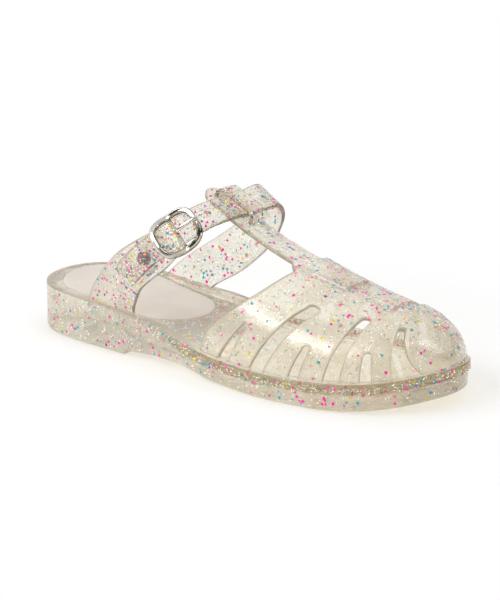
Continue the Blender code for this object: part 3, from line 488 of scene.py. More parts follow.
def tread_height(x):
    """Underside of the sole, with the step at the heel's breast."""
    step = np.clip((x - HEEL_BREAST) / BREAST_RUN, 0.0, 1.0)
    fade = np.clip((WAIST_END - x) / WAIST_FADE, 0.0, 1.0)
    return np.maximum(column(HEIGHTS, x, 1), 0.0) + BREAST_STEP * step * np.sqrt(fade)


def grooved_height(x):
    """Underside with its cross grooves: a cubed wave along the shoe, none under the waist."""
    wave = (0.5 - 0.5 * np.cos(2.0 * np.pi * x / GROOVE_PITCH)) ** 3
    waist = smooth_step(x, *GROOVE_WAIST[:2]) * (1.0 - smooth_step(x, *GROOVE_WAIST[2:]))
    return tread_height(x) + GROOVE_DEPTH * wave * (1.0 - waist)


def rim_height(x):
    """Top of the sole's rim."""
    return column(HEIGHTS, x, 2)


def bed_height(x):
    """Height of the footbed."""
    return column(HEIGHTS, x, 3)


def wall_height(share):
    """Height at a share of the way from the footbed up to the rim, as a function of x."""
    return lambda x: bed_height(x) + (rim_height(x) - bed_height(x)) * share


def make_sole(finish):
    """Sole: the outline drawn in by a profile that runs from the tread round both bands and over the rim."""
    x = FINE_OUTLINE[:, 0]
    tier = RIM_STEP * smooth_step(x, *TIER_FADE)
    lip = BED_INSET[0] + (BED_INSET[1] - BED_INSET[0]) * smooth_step(x, *BED_INSET_FADE)
    turn = part_turn(0.0, 90.0, ARC_POINTS)
    levels = []
    for a in turn:
        levels.append((tier + TREAD_ROUND * (1.0 - np.sin(a)), tread_height, TREAD_ROUND * (1.0 - np.cos(a))))
    for share in np.linspace(0.0, 1.0, ARC_POINTS):
        inset = tier * (1.0 - smooth_step(share, 0.0, 1.0))
        levels.append((inset, rim_height, STEP_SLOPE * (share - STEP_SUNK) - RIM_BAND))
    levels += [(EDGE_ROUND * (1.0 - np.cos(a)), rim_height, EDGE_ROUND * (np.sin(a) - 1.0)) for a in turn]
    levels += [(lip + run, wall_height(share), 0.0) for run, share in RIM_WALL]
    rings = stacked(FINE_OUTLINE, levels, CROSS_ROWS, (HEEL_BREAST, HEEL_BREAST + BREAST_RUN))
    points, faces = plate(rings, grooved_height, bed_height)
    piece = skin("sole_skin", points, faces, finish, ["sole"])
    # painted shade on the sole's rings, fading from the heel's shares to those in front
    front = smooth_step(np.array(rings)[..., 0], *BAND_FADE)
    share = np.zeros(len(points))
    tints = share[:front.size].reshape(front.shape)
    for first, end, ahead, heel, even in RING_PAINTED_SHADE:
        ring_front = front[first:end]
        tints[first:end] = np.maximum(np.maximum(ahead * ring_front, heel * (1.0 - ring_front)), even)
    return shaded(piece, share)


def make_pad(finish):
    """Heel pad: its outline carried up a straight side and round a soft edge, with a flat face."""
    levels = [(0.0, bed_height, -PAD_DEPTH)]
    for a in part_turn(0.0, 90.0, ARC_POINTS):
        levels.append((PAD_ROUND * (1.0 - np.cos(a)), bed_height, PAD_STAND * np.sin(a)))
    rings = stacked(FINE_PAD, levels, PAD_ROWS)
    points, faces = plate(rings, lambda x: bed_height(x) - PAD_DEPTH, lambda x: bed_height(x) + PAD_STAND)
    return skin("heel_pad_skin", points, faces, finish, ["heel_pad"])


# Upper skin

LIP_SIDES = dict(zip((-1, 1), sides_of(FINE_OUTLINE, LIP)))
TOE_TIP = LIP_SIDES[-1][-1]
LIP_ARC = 90.0 * MM_PER_DEGREE


def lip_y(x, side):
    """Line on one side's rim that the vamp's outer face stands on."""
    return side_y(LIP_SIDES[side], x)


def toe_share(x):
    """0 behind the toe's rounding, 1 at its tip."""
    return np.clip((x - TOE_ROUND_FROM) / (TOE_TIP[0] - TOE_ROUND_FROM), 0.0, 1.0)


def ridge_y(x):
    """Ridge's place across the shoe, bent to the tip at the toe."""
    straight = column(CROWN, x, 1)
    return straight + (TOE_TIP[1] - straight) * toe_share(x) ** 2


def base_height(x):
    """Height that the feet of the upper and straps reach down to."""
    return rim_height(x) - SUNK


def crown_height(x):
    """Ridge height, rounded down to the rim at the toe."""
    low = base_height(x)
    return low + (column(CROWN, x, 2) - low) * np.sqrt(1.0 - toe_share(x) ** TOE_ROUND_POWER)


TOE_X = TOE_TIP[0] - (TOE_TIP[0] - RIDGE_TURN) * np.linspace(1, 0, TOE_STEPS) ** 2
RIDGE_X = np.concatenate([np.linspace(RIDGE_FROM, RIDGE_TURN, RIDGE_STEPS), TOE_X])
RIDGE_WALK = walked(np.column_stack([RIDGE_X, crown_height(RIDGE_X)]))


def on_pattern(x, angle, side):
    """Place on the flat pattern: length walked along the ridge up to x, and arc across from the angle."""
    return np.column_stack([np.interp(x, RIDGE_X, RIDGE_WALK), side * np.asarray(angle) * MM_PER_DEGREE])


def beside_ridge(x, offset):
    """Place on the pattern of a point that lies offset to one side of the ridge in plan."""
    half = np.where(offset < 0.0, lip_y(x, -1), lip_y(x, 1)) - ridge_y(x)
    angle = np.degrees(np.arcsin(np.clip(offset / half, 0.0, 1.0)))
    return on_pattern(x, angle, np.sign(offset))


def last_point(place):
    """Outer face of the upper over a place on the pattern: superellipse sections from lip to lip."""
    x = np.interp(place[:, 0], RIDGE_WALK, RIDGE_X)
    angle = np.radians(np.minimum(np.abs(place[:, 1]) / MM_PER_DEGREE, 90.0))
    lip = np.where(place[:, 1] < 0.0, lip_y(x, -1), lip_y(x, 1))
    across = np.sin(angle)
    ridge, low = ridge_y(x), base_height(x)
    height = low + (crown_height(x) - low) * (1.0 - across ** SIDE_POWER) ** (1.0 / TOP_POWER)
    return np.column_stack([x, ridge + (lip - ridge) * across, height])


def lip_run(x_from, x_to, side):
    """Pattern places along the rim between two places, at even steps in space."""
    x = np.linspace(x_from, x_to, LIP_STEPS)
    walk = walked(np.column_stack([x, lip_y(x, side)]))
    steps = max(2, int(round(walk[-1] / EDGE_STEP)) + 1)
    x = np.interp(np.linspace(0.0, walk[-1], steps), walk, x)
    return on_pattern(x, np.full(steps, 90.0), side)


def slot_edge(slot, side):
    """Pattern places up the rear edge of a slot, round its top and down its front edge."""
    rear_x, front_x, top_x, top_angle, top_width = slot
    radius = top_width / 2.0
    reach = radius / MM_PER_DEGREE
    turn = part_turn(0.0, 180.0, SLOT_ROUND)
    round_x = top_x - radius * np.cos(turn)
    round_angle = top_angle + reach * (1.0 - np.sin(turn))
    steps = int((90.0 - top_angle) * MM_PER_DEGREE / EDGE_STEP)
    share = np.linspace(0.0, 1.0, steps, endpoint=False)[1:]
    up_angle = 90.0 + (round_angle[0] - 90.0) * share
    rear, front = rear_x + (round_x[0] - rear_x) * share, round_x[-1] + (front_x - round_x[-1]) * share
    angle = np.concatenate([up_angle, round_angle, up_angle[::-1]])
    return on_pattern(np.concatenate([rear, round_x, front]), angle, side)


def half_edge(side):
    """Edge of one half of the vamp, from the T-bar down the collar and along the rim to the toe."""
    collar = through(COLLAR[::-1], COLLAR_STEPS)
    runs = [on_pattern(collar[:, 0], collar[:, 1], side)]
    x = COLLAR[0][0]
    for slot in SLOTS:
        runs += [lip_run(x, slot[0], side)[1:], slot_edge(slot, side)]
        x = slot[1]
        runs.append(on_pattern([x], [90.0], side))
    runs.append(lip_run(x, TOE_TIP[0] - TIP_GAP, side)[1:])
    return np.vstack(runs)


def tbar_edge():
    """Edge of the T-bar from its medial root round the tongue to its lateral root."""
    end = TBAR_END + TBAR_HALF
    x = np.linspace(TBAR_ROOT, end, TBAR_STEPS)
    turn = part_turn(0.0, 180.0, TONGUE_ROUND)[1:-1]
    straight = np.full(len(x), TBAR_HALF)
    offset = np.concatenate([straight, TBAR_HALF * np.cos(turn), -straight])
    return beside_ridge(np.concatenate([x, end - TBAR_HALF * np.sin(turn), x[::-1]]), offset)


def weave_loop(row, grow):
    """Pattern loop of a raised crossing, grown by a margin."""
    rear, front = row[1] - grow, row[2] + grow
    x = np.linspace(rear, front, WEAVE_SIDE)
    half = np.interp(x, row[1:3], row[3:5]) + grow
    ends = np.linspace(-1.0, 1.0, WEAVE_END)[1:-1]
    front_end = beside_ridge(np.full(len(ends), front), half[-1] * ends)
    rear_end = beside_ridge(np.full(len(ends), rear), half[0] * ends[::-1])
    return np.vstack([beside_ridge(x, -half), front_end, beside_ridge(x, half)[::-1], rear_end])


def inside(places, loop):
    """Even-odd test of places against a closed loop."""
    x, y = places[:, :1], places[:, 1:]
    a, b = loop, np.roll(loop, -1, 0)
    spans = (a[None, :, 1] > y) != (b[None, :, 1] > y)
    rise = np.where(a[:, 1] == b[:, 1], TINY, b[:, 1] - a[:, 1])
    crossing = a[None, :, 0] + (y - a[None, :, 1]) * (b[:, 0] - a[:, 0])[None, :] / rise[None, :]
    return (np.sum(spans & (x < crossing), axis=1) % 2) == 1


def nearest(places, others):
    """Distance of each place to the nearest of the others."""
    blocks = np.array_split(places, max(1, len(places) // BLOCK))
    return np.concatenate([np.linalg.norm(b[:, None] - others[None], axis=2).min(axis=1) for b in blocks])


def grid_places(first, second):
    """Every pair of a first and a second value."""
    return np.column_stack([q.ravel() for q in np.meshgrid(first, second)])


def upper_pattern():
    """Edge loop, step loops and inner corners of the flat pattern, and the corners on its free edges."""
    edge = np.vstack([half_edge(-1), half_edge(1)[::-1], tbar_edge()])
    free = np.abs(edge[:, 1]) < LIP_ARC - EDGE_REACH
    inward = inward_of(edge)
    beside = np.vstack([edge[free] + inward[free] * inset for inset in EDGE_INSETS])
    steps = [weave_loop(row, grow) for row in WEAVE for grow, _ in WEAVE_STEP]
    cap_x = CAP_REAR + CAP_RUN * np.linspace(-CAP_SPREAD, CAP_SPREAD, CAP_ROWS)
    cap = grid_places(np.interp(cap_x, RIDGE_X, RIDGE_WALK), np.arange(*CAP_ARCS))
    field = grid_places(np.arange(RIDGE_WALK[0], RIDGE_WALK[-1], PATTERN_STEP),
                        np.arange(-LIP_ARC + FIELD_MARGINS[0], LIP_ARC - FIELD_MARGINS[1], PATTERN_STEP))
    kept = np.vstack([edge] + steps)
    inner = []
    for rows, gap in zip((beside, cap, field), PATTERN_GAPS):
        rows = rows[inside(rows, edge)]
        rows = rows[nearest(rows, kept) > gap]
        inner.append(rows)
        kept = np.vstack([kept, rows])
    return edge, free, steps, np.vstack(inner)


def sheet_normals(points, triangles):
    """Unit normals at the points of a triangle sheet."""
    a, b, c = (points[triangles[:, k]] for k in range(3))
    facing = np.cross(b - a, c - a)
    total = np.zeros_like(points)
    for k in range(3):
        np.add.at(total, triangles[:, k], facing)
    return unit(total)


def upper_sheet():
    """Corners of the pattern carried to the last.

    Gives the places, sheet points, normals, triangles, number of edge points and roundness: the share of the
    wall left at each corner, a quarter round beside the free edges.
    """
    edge, free, steps, inner = upper_pattern()
    places = np.vstack([edge] + steps + [inner])
    lines, start = [], 0
    for loop in [edge] + steps:
        at = start + np.arange(len(loop))
        lines += np.column_stack([at, np.roll(at, -1)]).tolist()
        start += len(loop)
    made = delaunay_2d_cdt([Vector(p) for p in places.tolist()], lines, [], 1, MERGE)
    if len(made[0]) != len(places):
        raise ValueError("the pattern's loops cross")
    triangles = np.array(made[2])
    sheet = last_point(places)
    rounded = np.clip(nearest(places, edge[free]) / EDGE_RADIUS, 0.0, 1.0)
    rounded[:len(edge)][free] = 0.0
    full = np.sqrt(1.0 - (1.0 - EDGE_LEFT) * (1.0 - rounded) ** 2)
    return places, sheet, sheet_normals(sheet, triangles), triangles, len(edge), full


def upper_faces(places, sheet, normal, full):
    """Outer and inner face of the upper: the sheet's wall, thinned at free edges, with raised crossings."""
    lift = CAP_LIFT * smooth_step(sheet[:, 0], CAP_REAR - CAP_RUN, CAP_REAR + CAP_RUN)
    for row in WEAVE:
        for grow, share in WEAVE_STEP:
            raised = inside(places, weave_loop(row, grow + WEAVE_MARGIN))
            lift[raised] = np.maximum(lift[raised], row[0] * share)
    standing = np.abs(places[:, 1]) > LIP_ARC - STAND_REACH
    lift[standing] = 0.0
    lift *= full
    over = sheet + normal * (lift - WALL / 2.0 * (1.0 - full))[:, None]
    under = sheet - normal * (WALL / 2.0 * (1.0 + full))[:, None]
    under[:, 2] = np.maximum(under[:, 2], base_height(under[:, 0]))
    for face in (over, under):
        face[standing, 2] = base_height(face[standing, 0])
    return over, under


def make_upper(finish, sheet_parts):
    """Upper: its two faces joined round the pattern's edge."""
    places, sheet, normal, triangles, rim, full = sheet_parts
    over, under = upper_faces(places, sheet, normal, full)
    count, ends = len(over), np.arange(rim)
    after = (ends + 1) % rim
    faces = triangles.tolist() + (count + triangles[:, ::-1]).tolist()
    faces += np.column_stack([ends, count + ends, count + after, after]).tolist()
    piece = skin("upper_skin", np.vstack([over, under]), faces, finish, ["upper"])
    # painted shade along the free edges, strongest where the wall rounds off to the edge
    edge = (1.0 - full) / (1.0 - np.sqrt(EDGE_LEFT))
    return shaded(piece, EDGE_SHADE * np.tile(edge, 2))


# Straps and keeper


def carried(path, wide, high, section):
    """Points of a closed section carried along a path.

    Its rows are wide and high shares, one set for the whole path or one for each of its points.
    """
    shares = np.broadcast_to(section, (len(path), *np.shape(section)[-2:]))
    return (path[:, None] + wide[:, None] * shares[..., :1] + high[:, None] * shares[..., 1:]).reshape(-1, 3)


def strap_foot(side):
    """Row that stands a strap on the rim."""
    ends = np.array([FOOT_REAR, FOOT_FRONT])
    y = lip_y(ends, side) - side * STRAP_WALL / 2.0
    z = base_height(ends)
    pitch = np.degrees(np.arctan2(z[0] - z[1], FOOT_FRONT - FOOT_REAR))
    return (ends.mean(), y.mean(), z.mean(), FOOT_FRONT - FOOT_REAR, pitch)


def strap_frames(rows):
    """Centre line of a strap with its directions along, across and out of its face, and its half width."""
    line = through(rows, STRAP_PER)
    pitch = np.radians(line[:, 4])
    along = unit(np.gradient(line[:, :3], axis=0))
    across = np.column_stack([np.cos(pitch), np.zeros(len(line)), -np.sin(pitch)])
    return line[:, :3], along, across, unit(np.cross(across, along)), line[:, 3] / 2.0


def round_tip(frames):
    """The same frames with the first stretch narrowed by the rounds of the end's two corners."""
    short = np.clip(TIP_ROUND - walked(frames[0]), 0.0, TIP_ROUND)
    return frames[:4] + (frames[4] - TIP_ROUND + np.sqrt(TIP_ROUND ** 2 - short ** 2),)


def bar_frame(strap):
    """Middle of the buckle's bar and its directions, under the strap's bar row."""
    centre, along, across, out = (a[BAR_ROW * STRAP_PER] for a in strap[:4])
    across = unit(across - along * np.dot(across, along))
    return centre - out * (STRAP_WALL / 2.0 + BAR_CLEAR + BAR_RADIUS), along, across, out


def keeper_frames():
    """Line of the keeper: up from the T-bar, round two bends, over the strap and down again."""
    ends = np.array([KEEPER_REAR, KEEPER_FRONT])
    fall = crown_height(ends)
    along = np.array([ends[1] - ends[0], fall[1] - fall[0]])
    half = np.linalg.norm(along) / 2.0 - KEEPER_WALL / 2.0
    along = along / np.linalg.norm(along)
    up = np.array([-along[1], along[0]])
    top, bend = KEEPER_RISE + KEEPER_WALL / 2.0, KEEPER_BEND
    turn = part_turn(0.0, 90.0, BEND_STEPS)
    rise = np.column_stack([bend * (1.0 - np.cos(turn)) - half, top - bend * (1.0 - np.sin(turn))])
    profile = np.vstack([[(-half, -KEEPER_SUNK)], rise, rise[::-1] * (-1.0, 1.0), [(half, -KEEPER_SUNK)]])
    line = np.array([ends.mean(), fall.mean()]) + profile[:, :1] * along + profile[:, 1:] * up
    middle = ridge_y(np.array([ends.mean()]))[0] + (KEEPER_LOW + KEEPER_HIGH) / 2.0
    centre = np.column_stack([line[:, 0], np.full(len(line), middle), line[:, 1]])
    across = np.broadcast_to((0.0, 1.0, 0.0), centre.shape)
    run = unit(np.gradient(centre, axis=0))
    wide = np.full(len(line), (KEEPER_HIGH - KEEPER_LOW) / 2.0)
    return centre, run, across, unit(np.cross(run, across)), wide


def make_strap(name, frames, wall, edge, finish, covers=()):
    """Strap: a flat section with round edges along its own frames.

    A section point is a share of the flat's half width plus a point of the edge's half round.
    """
    centre, _, across, out, half = frames
    turn = part_turn(-90.0, 90.0, BEND_STEPS)
    flat = np.linspace(1.0, -1.0, FLAT_STEPS)[1:-1]
    none, one = np.zeros(len(flat)), np.ones(len(flat))
    place = np.concatenate([np.ones(len(turn)), flat, -np.ones(len(turn)), -flat])
    beyond = np.concatenate([np.cos(turn), none, -np.cos(turn), none])
    height = np.concatenate([np.sin(turn), one, -np.sin(turn), -one])
    edge = np.minimum(edge, half)
    wide = np.outer(half - edge, place) + np.outer(edge, beyond)
    section = np.stack([wide, np.broadcast_to(wall / 2.0 * height, wide.shape)], axis=2)
    faces = tube(len(centre), len(place))
    piece = skin(name, carried(centre, across, out, section), faces, finish, covers)
    # painted shade along the strap's two round edges
    return shaded(piece, EDGE_SHADE * np.tile(np.abs(beyond), len(centre)))


# Buckle


def super_ring(count, power, wide, high):
    """Points of a superellipse: signed powers of cosine and sine."""
    turn = full_turn(count)
    shares = np.column_stack([np.cos(turn), np.sin(turn)])
    return np.array((wide, high)) * np.sign(shares) * np.abs(shares) ** (2.0 / power)


def eased(corners, cut):
    """Closed outline with each corner replaced by three points of a small bend that starts cut before it."""
    before = corners + cut * unit(np.roll(corners, 1, 0) - corners)
    after = corners + cut * unit(np.roll(corners, -1, 0) - corners)
    middle = 0.25 * before + 0.5 * corners + 0.25 * after
    return np.stack([before, middle, after], axis=1).reshape(-1, 2)


def rod(path, wide, section):
    """Points and faces of an open path with a closed section and flat ends."""
    run = unit(np.gradient(path, axis=0))
    wide = np.broadcast_to(wide, path.shape)
    return carried(path, wide, np.cross(run, wide), section), tube(len(path), len(section))


def make_buckle(bar, finish):
    """Frame: a rounded-square loop bowed up at its ends, with a bevelled section, and the bar across it."""
    middle, along, across, out = bar
    plan = super_ring(FRAME_STEPS, FRAME_POWER, FRAME_LONG, FRAME_WIDE)
    bow = FRAME_LIFT + (FRAME_RISE - FRAME_LIFT) * np.abs(plan[:, 0] / FRAME_LONG) ** FRAME_BOW
    path = middle + np.outer(plan[:, 0], along) + np.outer(plan[:, 1], across) + np.outer(bow, out)
    run = unit(np.roll(path, -1, 0) - np.roll(path, 1, 0))
    flat = unit(np.cross(run, out))
    corners = np.array(FRAME_SECTION)
    section = eased(corners * (FRAME_BROAD, FRAME_THICK), FRAME_EASE)
    points = carried(path, flat, np.cross(flat, run), section)
    index = ring_index(FRAME_STEPS, len(section))
    faces = quads(np.vstack([index, index[:1]]))
    reach = np.linspace(-FRAME_WIDE, FRAME_WIDE, BAR_STEPS)
    bar_section = super_ring(BAR_SIDES, BAR_POWER, BAR_RADIUS, BAR_RADIUS * BAR_FLAT)
    bar_points, bar_faces = rod(middle + np.outer(reach, across), unit(along + BAR_LEAN * out), bar_section)
    faces += [[len(points) + i for i in f] for f in bar_faces]
    both = np.vstack([points, bar_points])
    piece = skin("buckle_frame_skin", both, faces, finish, ["buckle_frame"])
    # painted dark reflection on the frame's upright sides and outer corners, none on the bar
    dark = np.repeat(FRAME_DARK * (np.abs(corners[:, 0]) > FRAME_DARK_FROM), len(section) // len(corners))
    return shaded(piece, np.concatenate([np.tile(dark, FRAME_STEPS), np.zeros(len(bar_points))]))


def make_prong(bar, finish):
    """Prong: a round rod from the bar through the strap's hole and over it to the frame's far end."""
    middle, along, across, out = bar
    seat = BAR_RADIUS + BAR_GAP + PRONG_RADIUS
    rest = FRAME_RISE + FRAME_THICK + BAR_GAP + PRONG_RADIUS
    rows = (
        # along, out
        (-0.1, seat), (0.5, seat + 1.9), (2.4, rest - 1.2), (7.0, rest - 0.1), (FRAME_LONG, rest),
        (FRAME_LONG + FRAME_BROAD, rest - 0.5))
    line = through(rows, PRONG_STEPS)
    path = middle + np.outer(line[:, 0], along) + np.outer(line[:, 1], out)
    points, faces = rod(path, across, super_ring(PRONG_SIDES, PRONG_POWER, PRONG_RADIUS, PRONG_RADIUS))
    return skin("buckle_prong_skin", points, faces, finish, ["buckle_prong"])


def make_rivet(tab, finish):
    """Rivet: a turned profile with a flared, dished head on each face of the tab."""
    centre, along, _, out = (a[int(RIVET_ROW * STRAP_PER)] for a in tab[:4])
    face = STRAP_WALL / 2.0 + RIVET_CLEAR
    head = np.array(RIVET_PROFILE) * (RIVET_RADIUS, RIVET_HEAD) + (0.0, face)
    profile = np.vstack([head * (1.0, -1.0), head[::-1]])
    turn = full_turn(RIVET_SIDES)
    ring = np.outer(np.cos(turn), along) + np.outer(np.sin(turn), np.cross(out, along))
    points = centre + ring[None] * profile[:, :1, None] + out * profile[:, 1:, None]
    faces = tube(len(profile), RIVET_SIDES)
    return skin("rivet_skin", points.reshape(-1, 3), faces, finish, ["rivet"])


# Chips in the plastic


def chip_mesh(name, places, facing, shown, sizes, tilt, sides, finish, rng):
    """Flat many-sided chips joined in one mesh.

    Every chip is a prism: a ring of uneven radius in the plane across its own axis, shifted half the
    thickness both ways.  The axis is the facing direction with a random tilt, small for chips at a face.
    """
    count = len(places)
    axis = unit(facing + np.where(shown, SHOWN_TILT, tilt)[:, None] * rng.normal(size=(count, 3)))
    u = unit(np.cross(axis, unit(rng.normal(size=(count, 3)))))
    v = np.cross(axis, u)
    turn = full_turn(sides)
    radius = sizes[:, None] / 2.0 * rng.uniform(*CHIP_RAGGED, (count, sides))
    wide, high = radius * np.cos(turn), radius * np.sin(turn)
    flat = places[:, None] + (u[:, None] * wide[..., None] + v[:, None] * high[..., None])
    depth = axis[:, None] * CHIP_THICK / 2.0
    points = np.concatenate([flat - depth, flat + depth], axis=1).reshape(-1, 3)
    first = 2 * sides * np.arange(count)[:, None]
    at = np.arange(sides)
    after = (at + 1) % sides
    walls = np.column_stack([at, after, sides + after, sides + at])
    faces = (first[:, :, None] + walls[None]).reshape(-1, 4).tolist()
    faces += (first + at[::-1]).tolist() + (first + sides + at).tolist()
    return piece_of(mesh_of(name, points, faces), finish)


def at_face(count, rng):
    """Which of the chips lie at a face."""
    return rng.uniform(0.0, 1.0, count) < SHOWN


def in_upper(count, rng, crowd, sheet_parts):
    """Random places on and in the upper's wall, their directions, and which of them lie at the outer face.

    They are spread by area, with crowd times as many along the spine as on the sides.
    """
    places, sheet, normal, triangles, _, full = sheet_parts
    over, under = upper_faces(places, sheet, normal, full)
    a, b, c = (sheet[triangles[:, k]] for k in range(3))
    arc = places[triangles, 1].mean(axis=1)
    area = np.linalg.norm(np.cross(b - a, c - a), axis=1)
    weight = area * (1.0 + (crowd - 1.0) * np.exp(-(arc / SPINE_ARC) ** 2))
    weight *= full[triangles].min(axis=1) > WHOLE_WALL
    pick = rng.choice(len(triangles), count, p=weight / weight.sum())
    mix = rng.dirichlet((1.0, 1.0, 1.0), count)
    facing, outer, inner = ((q[triangles[pick]] * mix[..., None]).sum(axis=1) for q in (normal, over, under))
    shown = at_face(count, rng)
    depth = np.where(shown, 0.0, rng.uniform(*WALL_DEPTHS, count))[:, None]
    return outer * (1.0 - depth) + inner * depth, unit(facing), shown


def in_strap(count, rng, frames, thick):
    """Random places on and in a strap's wall, even along its length."""
    centre, _, across, out, half = frames
    walk = walked(centre)
    at = np.interp(rng.uniform(0.0, walk[-1], count), walk, np.arange(len(centre)))
    low = np.floor(at).astype(int).clip(0, len(centre) - 2)
    share = (at - low)[:, None]
    spot, side, facing = (q[low] * (1.0 - share) + q[low + 1] * share for q in (centre, across, out))
    wide = np.maximum(half[low] - STRAP_MARGIN, 0.0) * rng.uniform(-1.0, 1.0, count)
    shown = at_face(count, rng)
    outer = thick * rng.choice((-1.0, 1.0), count)
    height = np.where(shown, outer, (thick - STRAP_COVER) * rng.uniform(-1.0, 1.0, count))
    return spot + side * wide[:, None] + facing * height[:, None], facing, shown


def in_sole(count, rng, in_band):
    """Random places in the sole: half near its side, at a random depth, and half near the footbed.

    Of those near the side, a share in_band lies in the upper band wherever the side has its step.
    """
    near = count // 2
    far = count - near
    pick = rng.integers(0, len(FINE_OUTLINE), near)
    start, inward = FINE_OUTLINE[pick], inward_of(FINE_OUTLINE)[pick]
    low, high = tread_height(start[:, 0]) + TREAD_ROUND, rim_height(start[:, 0]) - EDGE_ROUND
    edge = high + EDGE_ROUND - RIM_BAND
    banded = (rng.uniform(0.0, 1.0, near) < in_band) & (start[:, 0] > TIER_FADE[1])
    low = np.where(banded, edge + BAND_MARGIN, low)
    z = low + (high - low) * rng.uniform(0.0, 1.0, near)
    above = smooth_step(z - edge, -STEP_SUNK * STEP_SLOPE, (1.0 - STEP_SUNK) * STEP_SLOPE)
    tier = RIM_STEP * smooth_step(start[:, 0], *TIER_FADE) * (1.0 - above)
    shown = at_face(count, rng)
    least, more = SIDE_DEEP
    deep = tier + np.where(shown[:near], 0.0, least + more * rng.uniform(0.0, 1.0, near) ** 2)
    plan = start + inward * deep[:, None]
    z = np.where(deep > BED_INSET[0], np.minimum(z, bed_height(plan[:, 0]) - BED_COVER), z)
    side, out = np.column_stack([plan, z]), np.column_stack([-inward, np.zeros(near)])
    rear = rng.uniform(0.0, 1.0, far) < BED_REAR_SHARE
    behind, ahead = (rng.uniform(*BED_STRETCH[k:k + 2], far) for k in (0, 1))
    x = np.where(rear, behind, ahead)
    lateral, medial = (side_y(line, x) for line in sides_of(FINE_OUTLINE, BED_MARGIN))
    y = lateral + (medial - lateral) * rng.uniform(0.0, 1.0, far)
    least, more = BED_DEEP
    sunk = np.where(shown[near:], 0.0, least + more * rng.uniform(0.0, 1.0, far) ** 2)
    bed = np.column_stack([x, y, bed_height(x) - sunk])
    up = np.broadcast_to((0.0, 0.0, 1.0), bed.shape)
    return np.vstack([side, bed]), np.vstack([out, up]), shown


def make_chips(group, sheet_parts, straps):
    """Coloured chips and fine specks in every clear piece."""
    rng = np.random.default_rng(CHIP_SEED)
    walls = (STRAP_WALL, STRAP_WALL, KEEPER_WALL)

    def gathered(counts, crowd, in_band):
        """Places, directions and marks of those at a face, over all the clear pieces."""
        sets = [in_upper(counts[0], rng, crowd, sheet_parts)]
        for count, frames, wall in zip(counts[1:4], straps, walls):
            sets.append(in_strap(count, rng, frames, wall / 2.0))
        sets.append(in_sole(counts[4], rng, in_band))
        return [np.concatenate([s[k] for s in sets]) for k in range(3)]

    places, facing, shown = gathered(CHIP_COUNTS, CHIP_CROWD, CHIP_BANDED)
    order = rng.permutation(len(places))
    ends = np.round(np.cumsum([0.0] + [row[1] for row in CHIP_KINDS]) * len(places)).astype(int)
    for (name, _, pale, deep), low, high in zip(CHIP_KINDS, ends[:-1], ends[1:]):
        pick = order[low:high]
        finish = chip_finish(f"{name} chip", group, (pale, deep), 0.0, CHIP_PAINTED_GLOW)
        sizes = rng.uniform(*CHIP_SIZE, len(pick))
        chosen = places[pick], facing[pick], shown[pick]
        chip_mesh(f"chips_{name}", *chosen, sizes, CHIP_TILT, CHIP_SIDES, finish, rng)
    for name, counts, pale, deep, metallic, painted_glow, small, large in SPECK_KINDS:
        places, facing, shown = gathered(counts, SPECK_CROWD, SPECK_BANDED)
        sizes = rng.uniform(small, large, len(places))
        finish = chip_finish(f"{name} speck", group, (pale, deep), metallic, painted_glow)
        chip_mesh(f"specks_{name}", places, facing, shown, sizes, SPECK_TILT, SPECK_SIDES, finish, rng)


# Finishes


def tint(code):
    """Linear colour, with alpha, of a six-digit screen colour, by the usual screen curve."""
    parts = np.array([int(code[i:i + 2], 16) for i in (0, 2, 4)]) / 255.0
    return (*np.where(parts <= 0.04045, parts / 12.92, ((parts + 0.055) / 1.055) ** 2.4), 1.0)


def add_node(tree, kind, inputs=(), **settings):
    """New node with its settings, and its inputs from values or from other nodes' sockets."""
    made = tree.nodes.new("ShaderNode" + kind)
    for key, value in settings.items():
        setattr(made, key, value)
    for key, value in dict(inputs).items():
        if isinstance(value, bpy.types.NodeSocket):
            tree.links.new(value, made.inputs[key])
        else:
            made.inputs[key].default_value = value
    return made


def noise(tree, where, scale, detail):
    """Value of a noise over the surface."""
    return add_node(tree, "TexNoise", {"Vector": where, "Scale": scale, "Detail": detail}).outputs[0]


def spread(tree, value, low, high, to_low, to_high):
    """The value's range from low to high stretched to another range."""
    ends = {"Value": value, "From Min": low, "From Max": high, "To Min": to_low, "To Max": to_high}
    return add_node(tree, "MapRange", ends).outputs[0]


def maths(tree, operation, first, second):
    """Outcome of an operation on two values."""
    return add_node(tree, "Math", {0: first, 1: second}, operation=operation).outputs[0]


def blended(tree, share, first, second):
    """Mix of two colours; the numbered sockets are the factor and the colours."""
    return add_node(tree, "Mix", {0: share, 6: first, 7: second}, data_type="RGBA").outputs[2]


def surface_group():
    """Uneven surface: clouds between two tints with painted shade mixed over them, roughness between two
    values and a height of two noises.

    All of them come from noise on Object coordinates, at a cloud scale and a grain scale.
    """
    group = bpy.data.node_groups.new("uneven surface", "ShaderNodeTree")
    for way, kind, labels in GROUP_SOCKETS:
        for label in labels:
            group.interface.new_socket(label, in_out=way, socket_type=kind)
    given, put = group.nodes.new("NodeGroupInput").outputs, group.nodes.new("NodeGroupOutput").inputs
    where = add_node(group, "TexCoord").outputs["Object"]
    cloud = noise(group, where, given["Cloud Scale"], CLOUD_DETAIL)
    grain = noise(group, where, given["Grain Scale"], GRAIN_DETAIL)
    mask = spread(group, cloud, *CLOUD_RANGE, 0.0, 1.0)
    mixed = blended(group, mask, given["Pale"], given["Deep"])
    # painted shade over the clouds, as much as the Shade input asks
    mixed = blended(group, given["Shade"], mixed, given["Shade Colour"])
    rough = spread(group, grain, *GRAIN_RANGE, given["Smooth"], given["Dull"])
    height = maths(group, "ADD", cloud, maths(group, "MULTIPLY", grain, GRAIN_SHARE))
    for label, socket in (("Colour", mixed), ("Roughness", rough), ("Height", height)):
        group.links.new(socket, put[label])
    return group


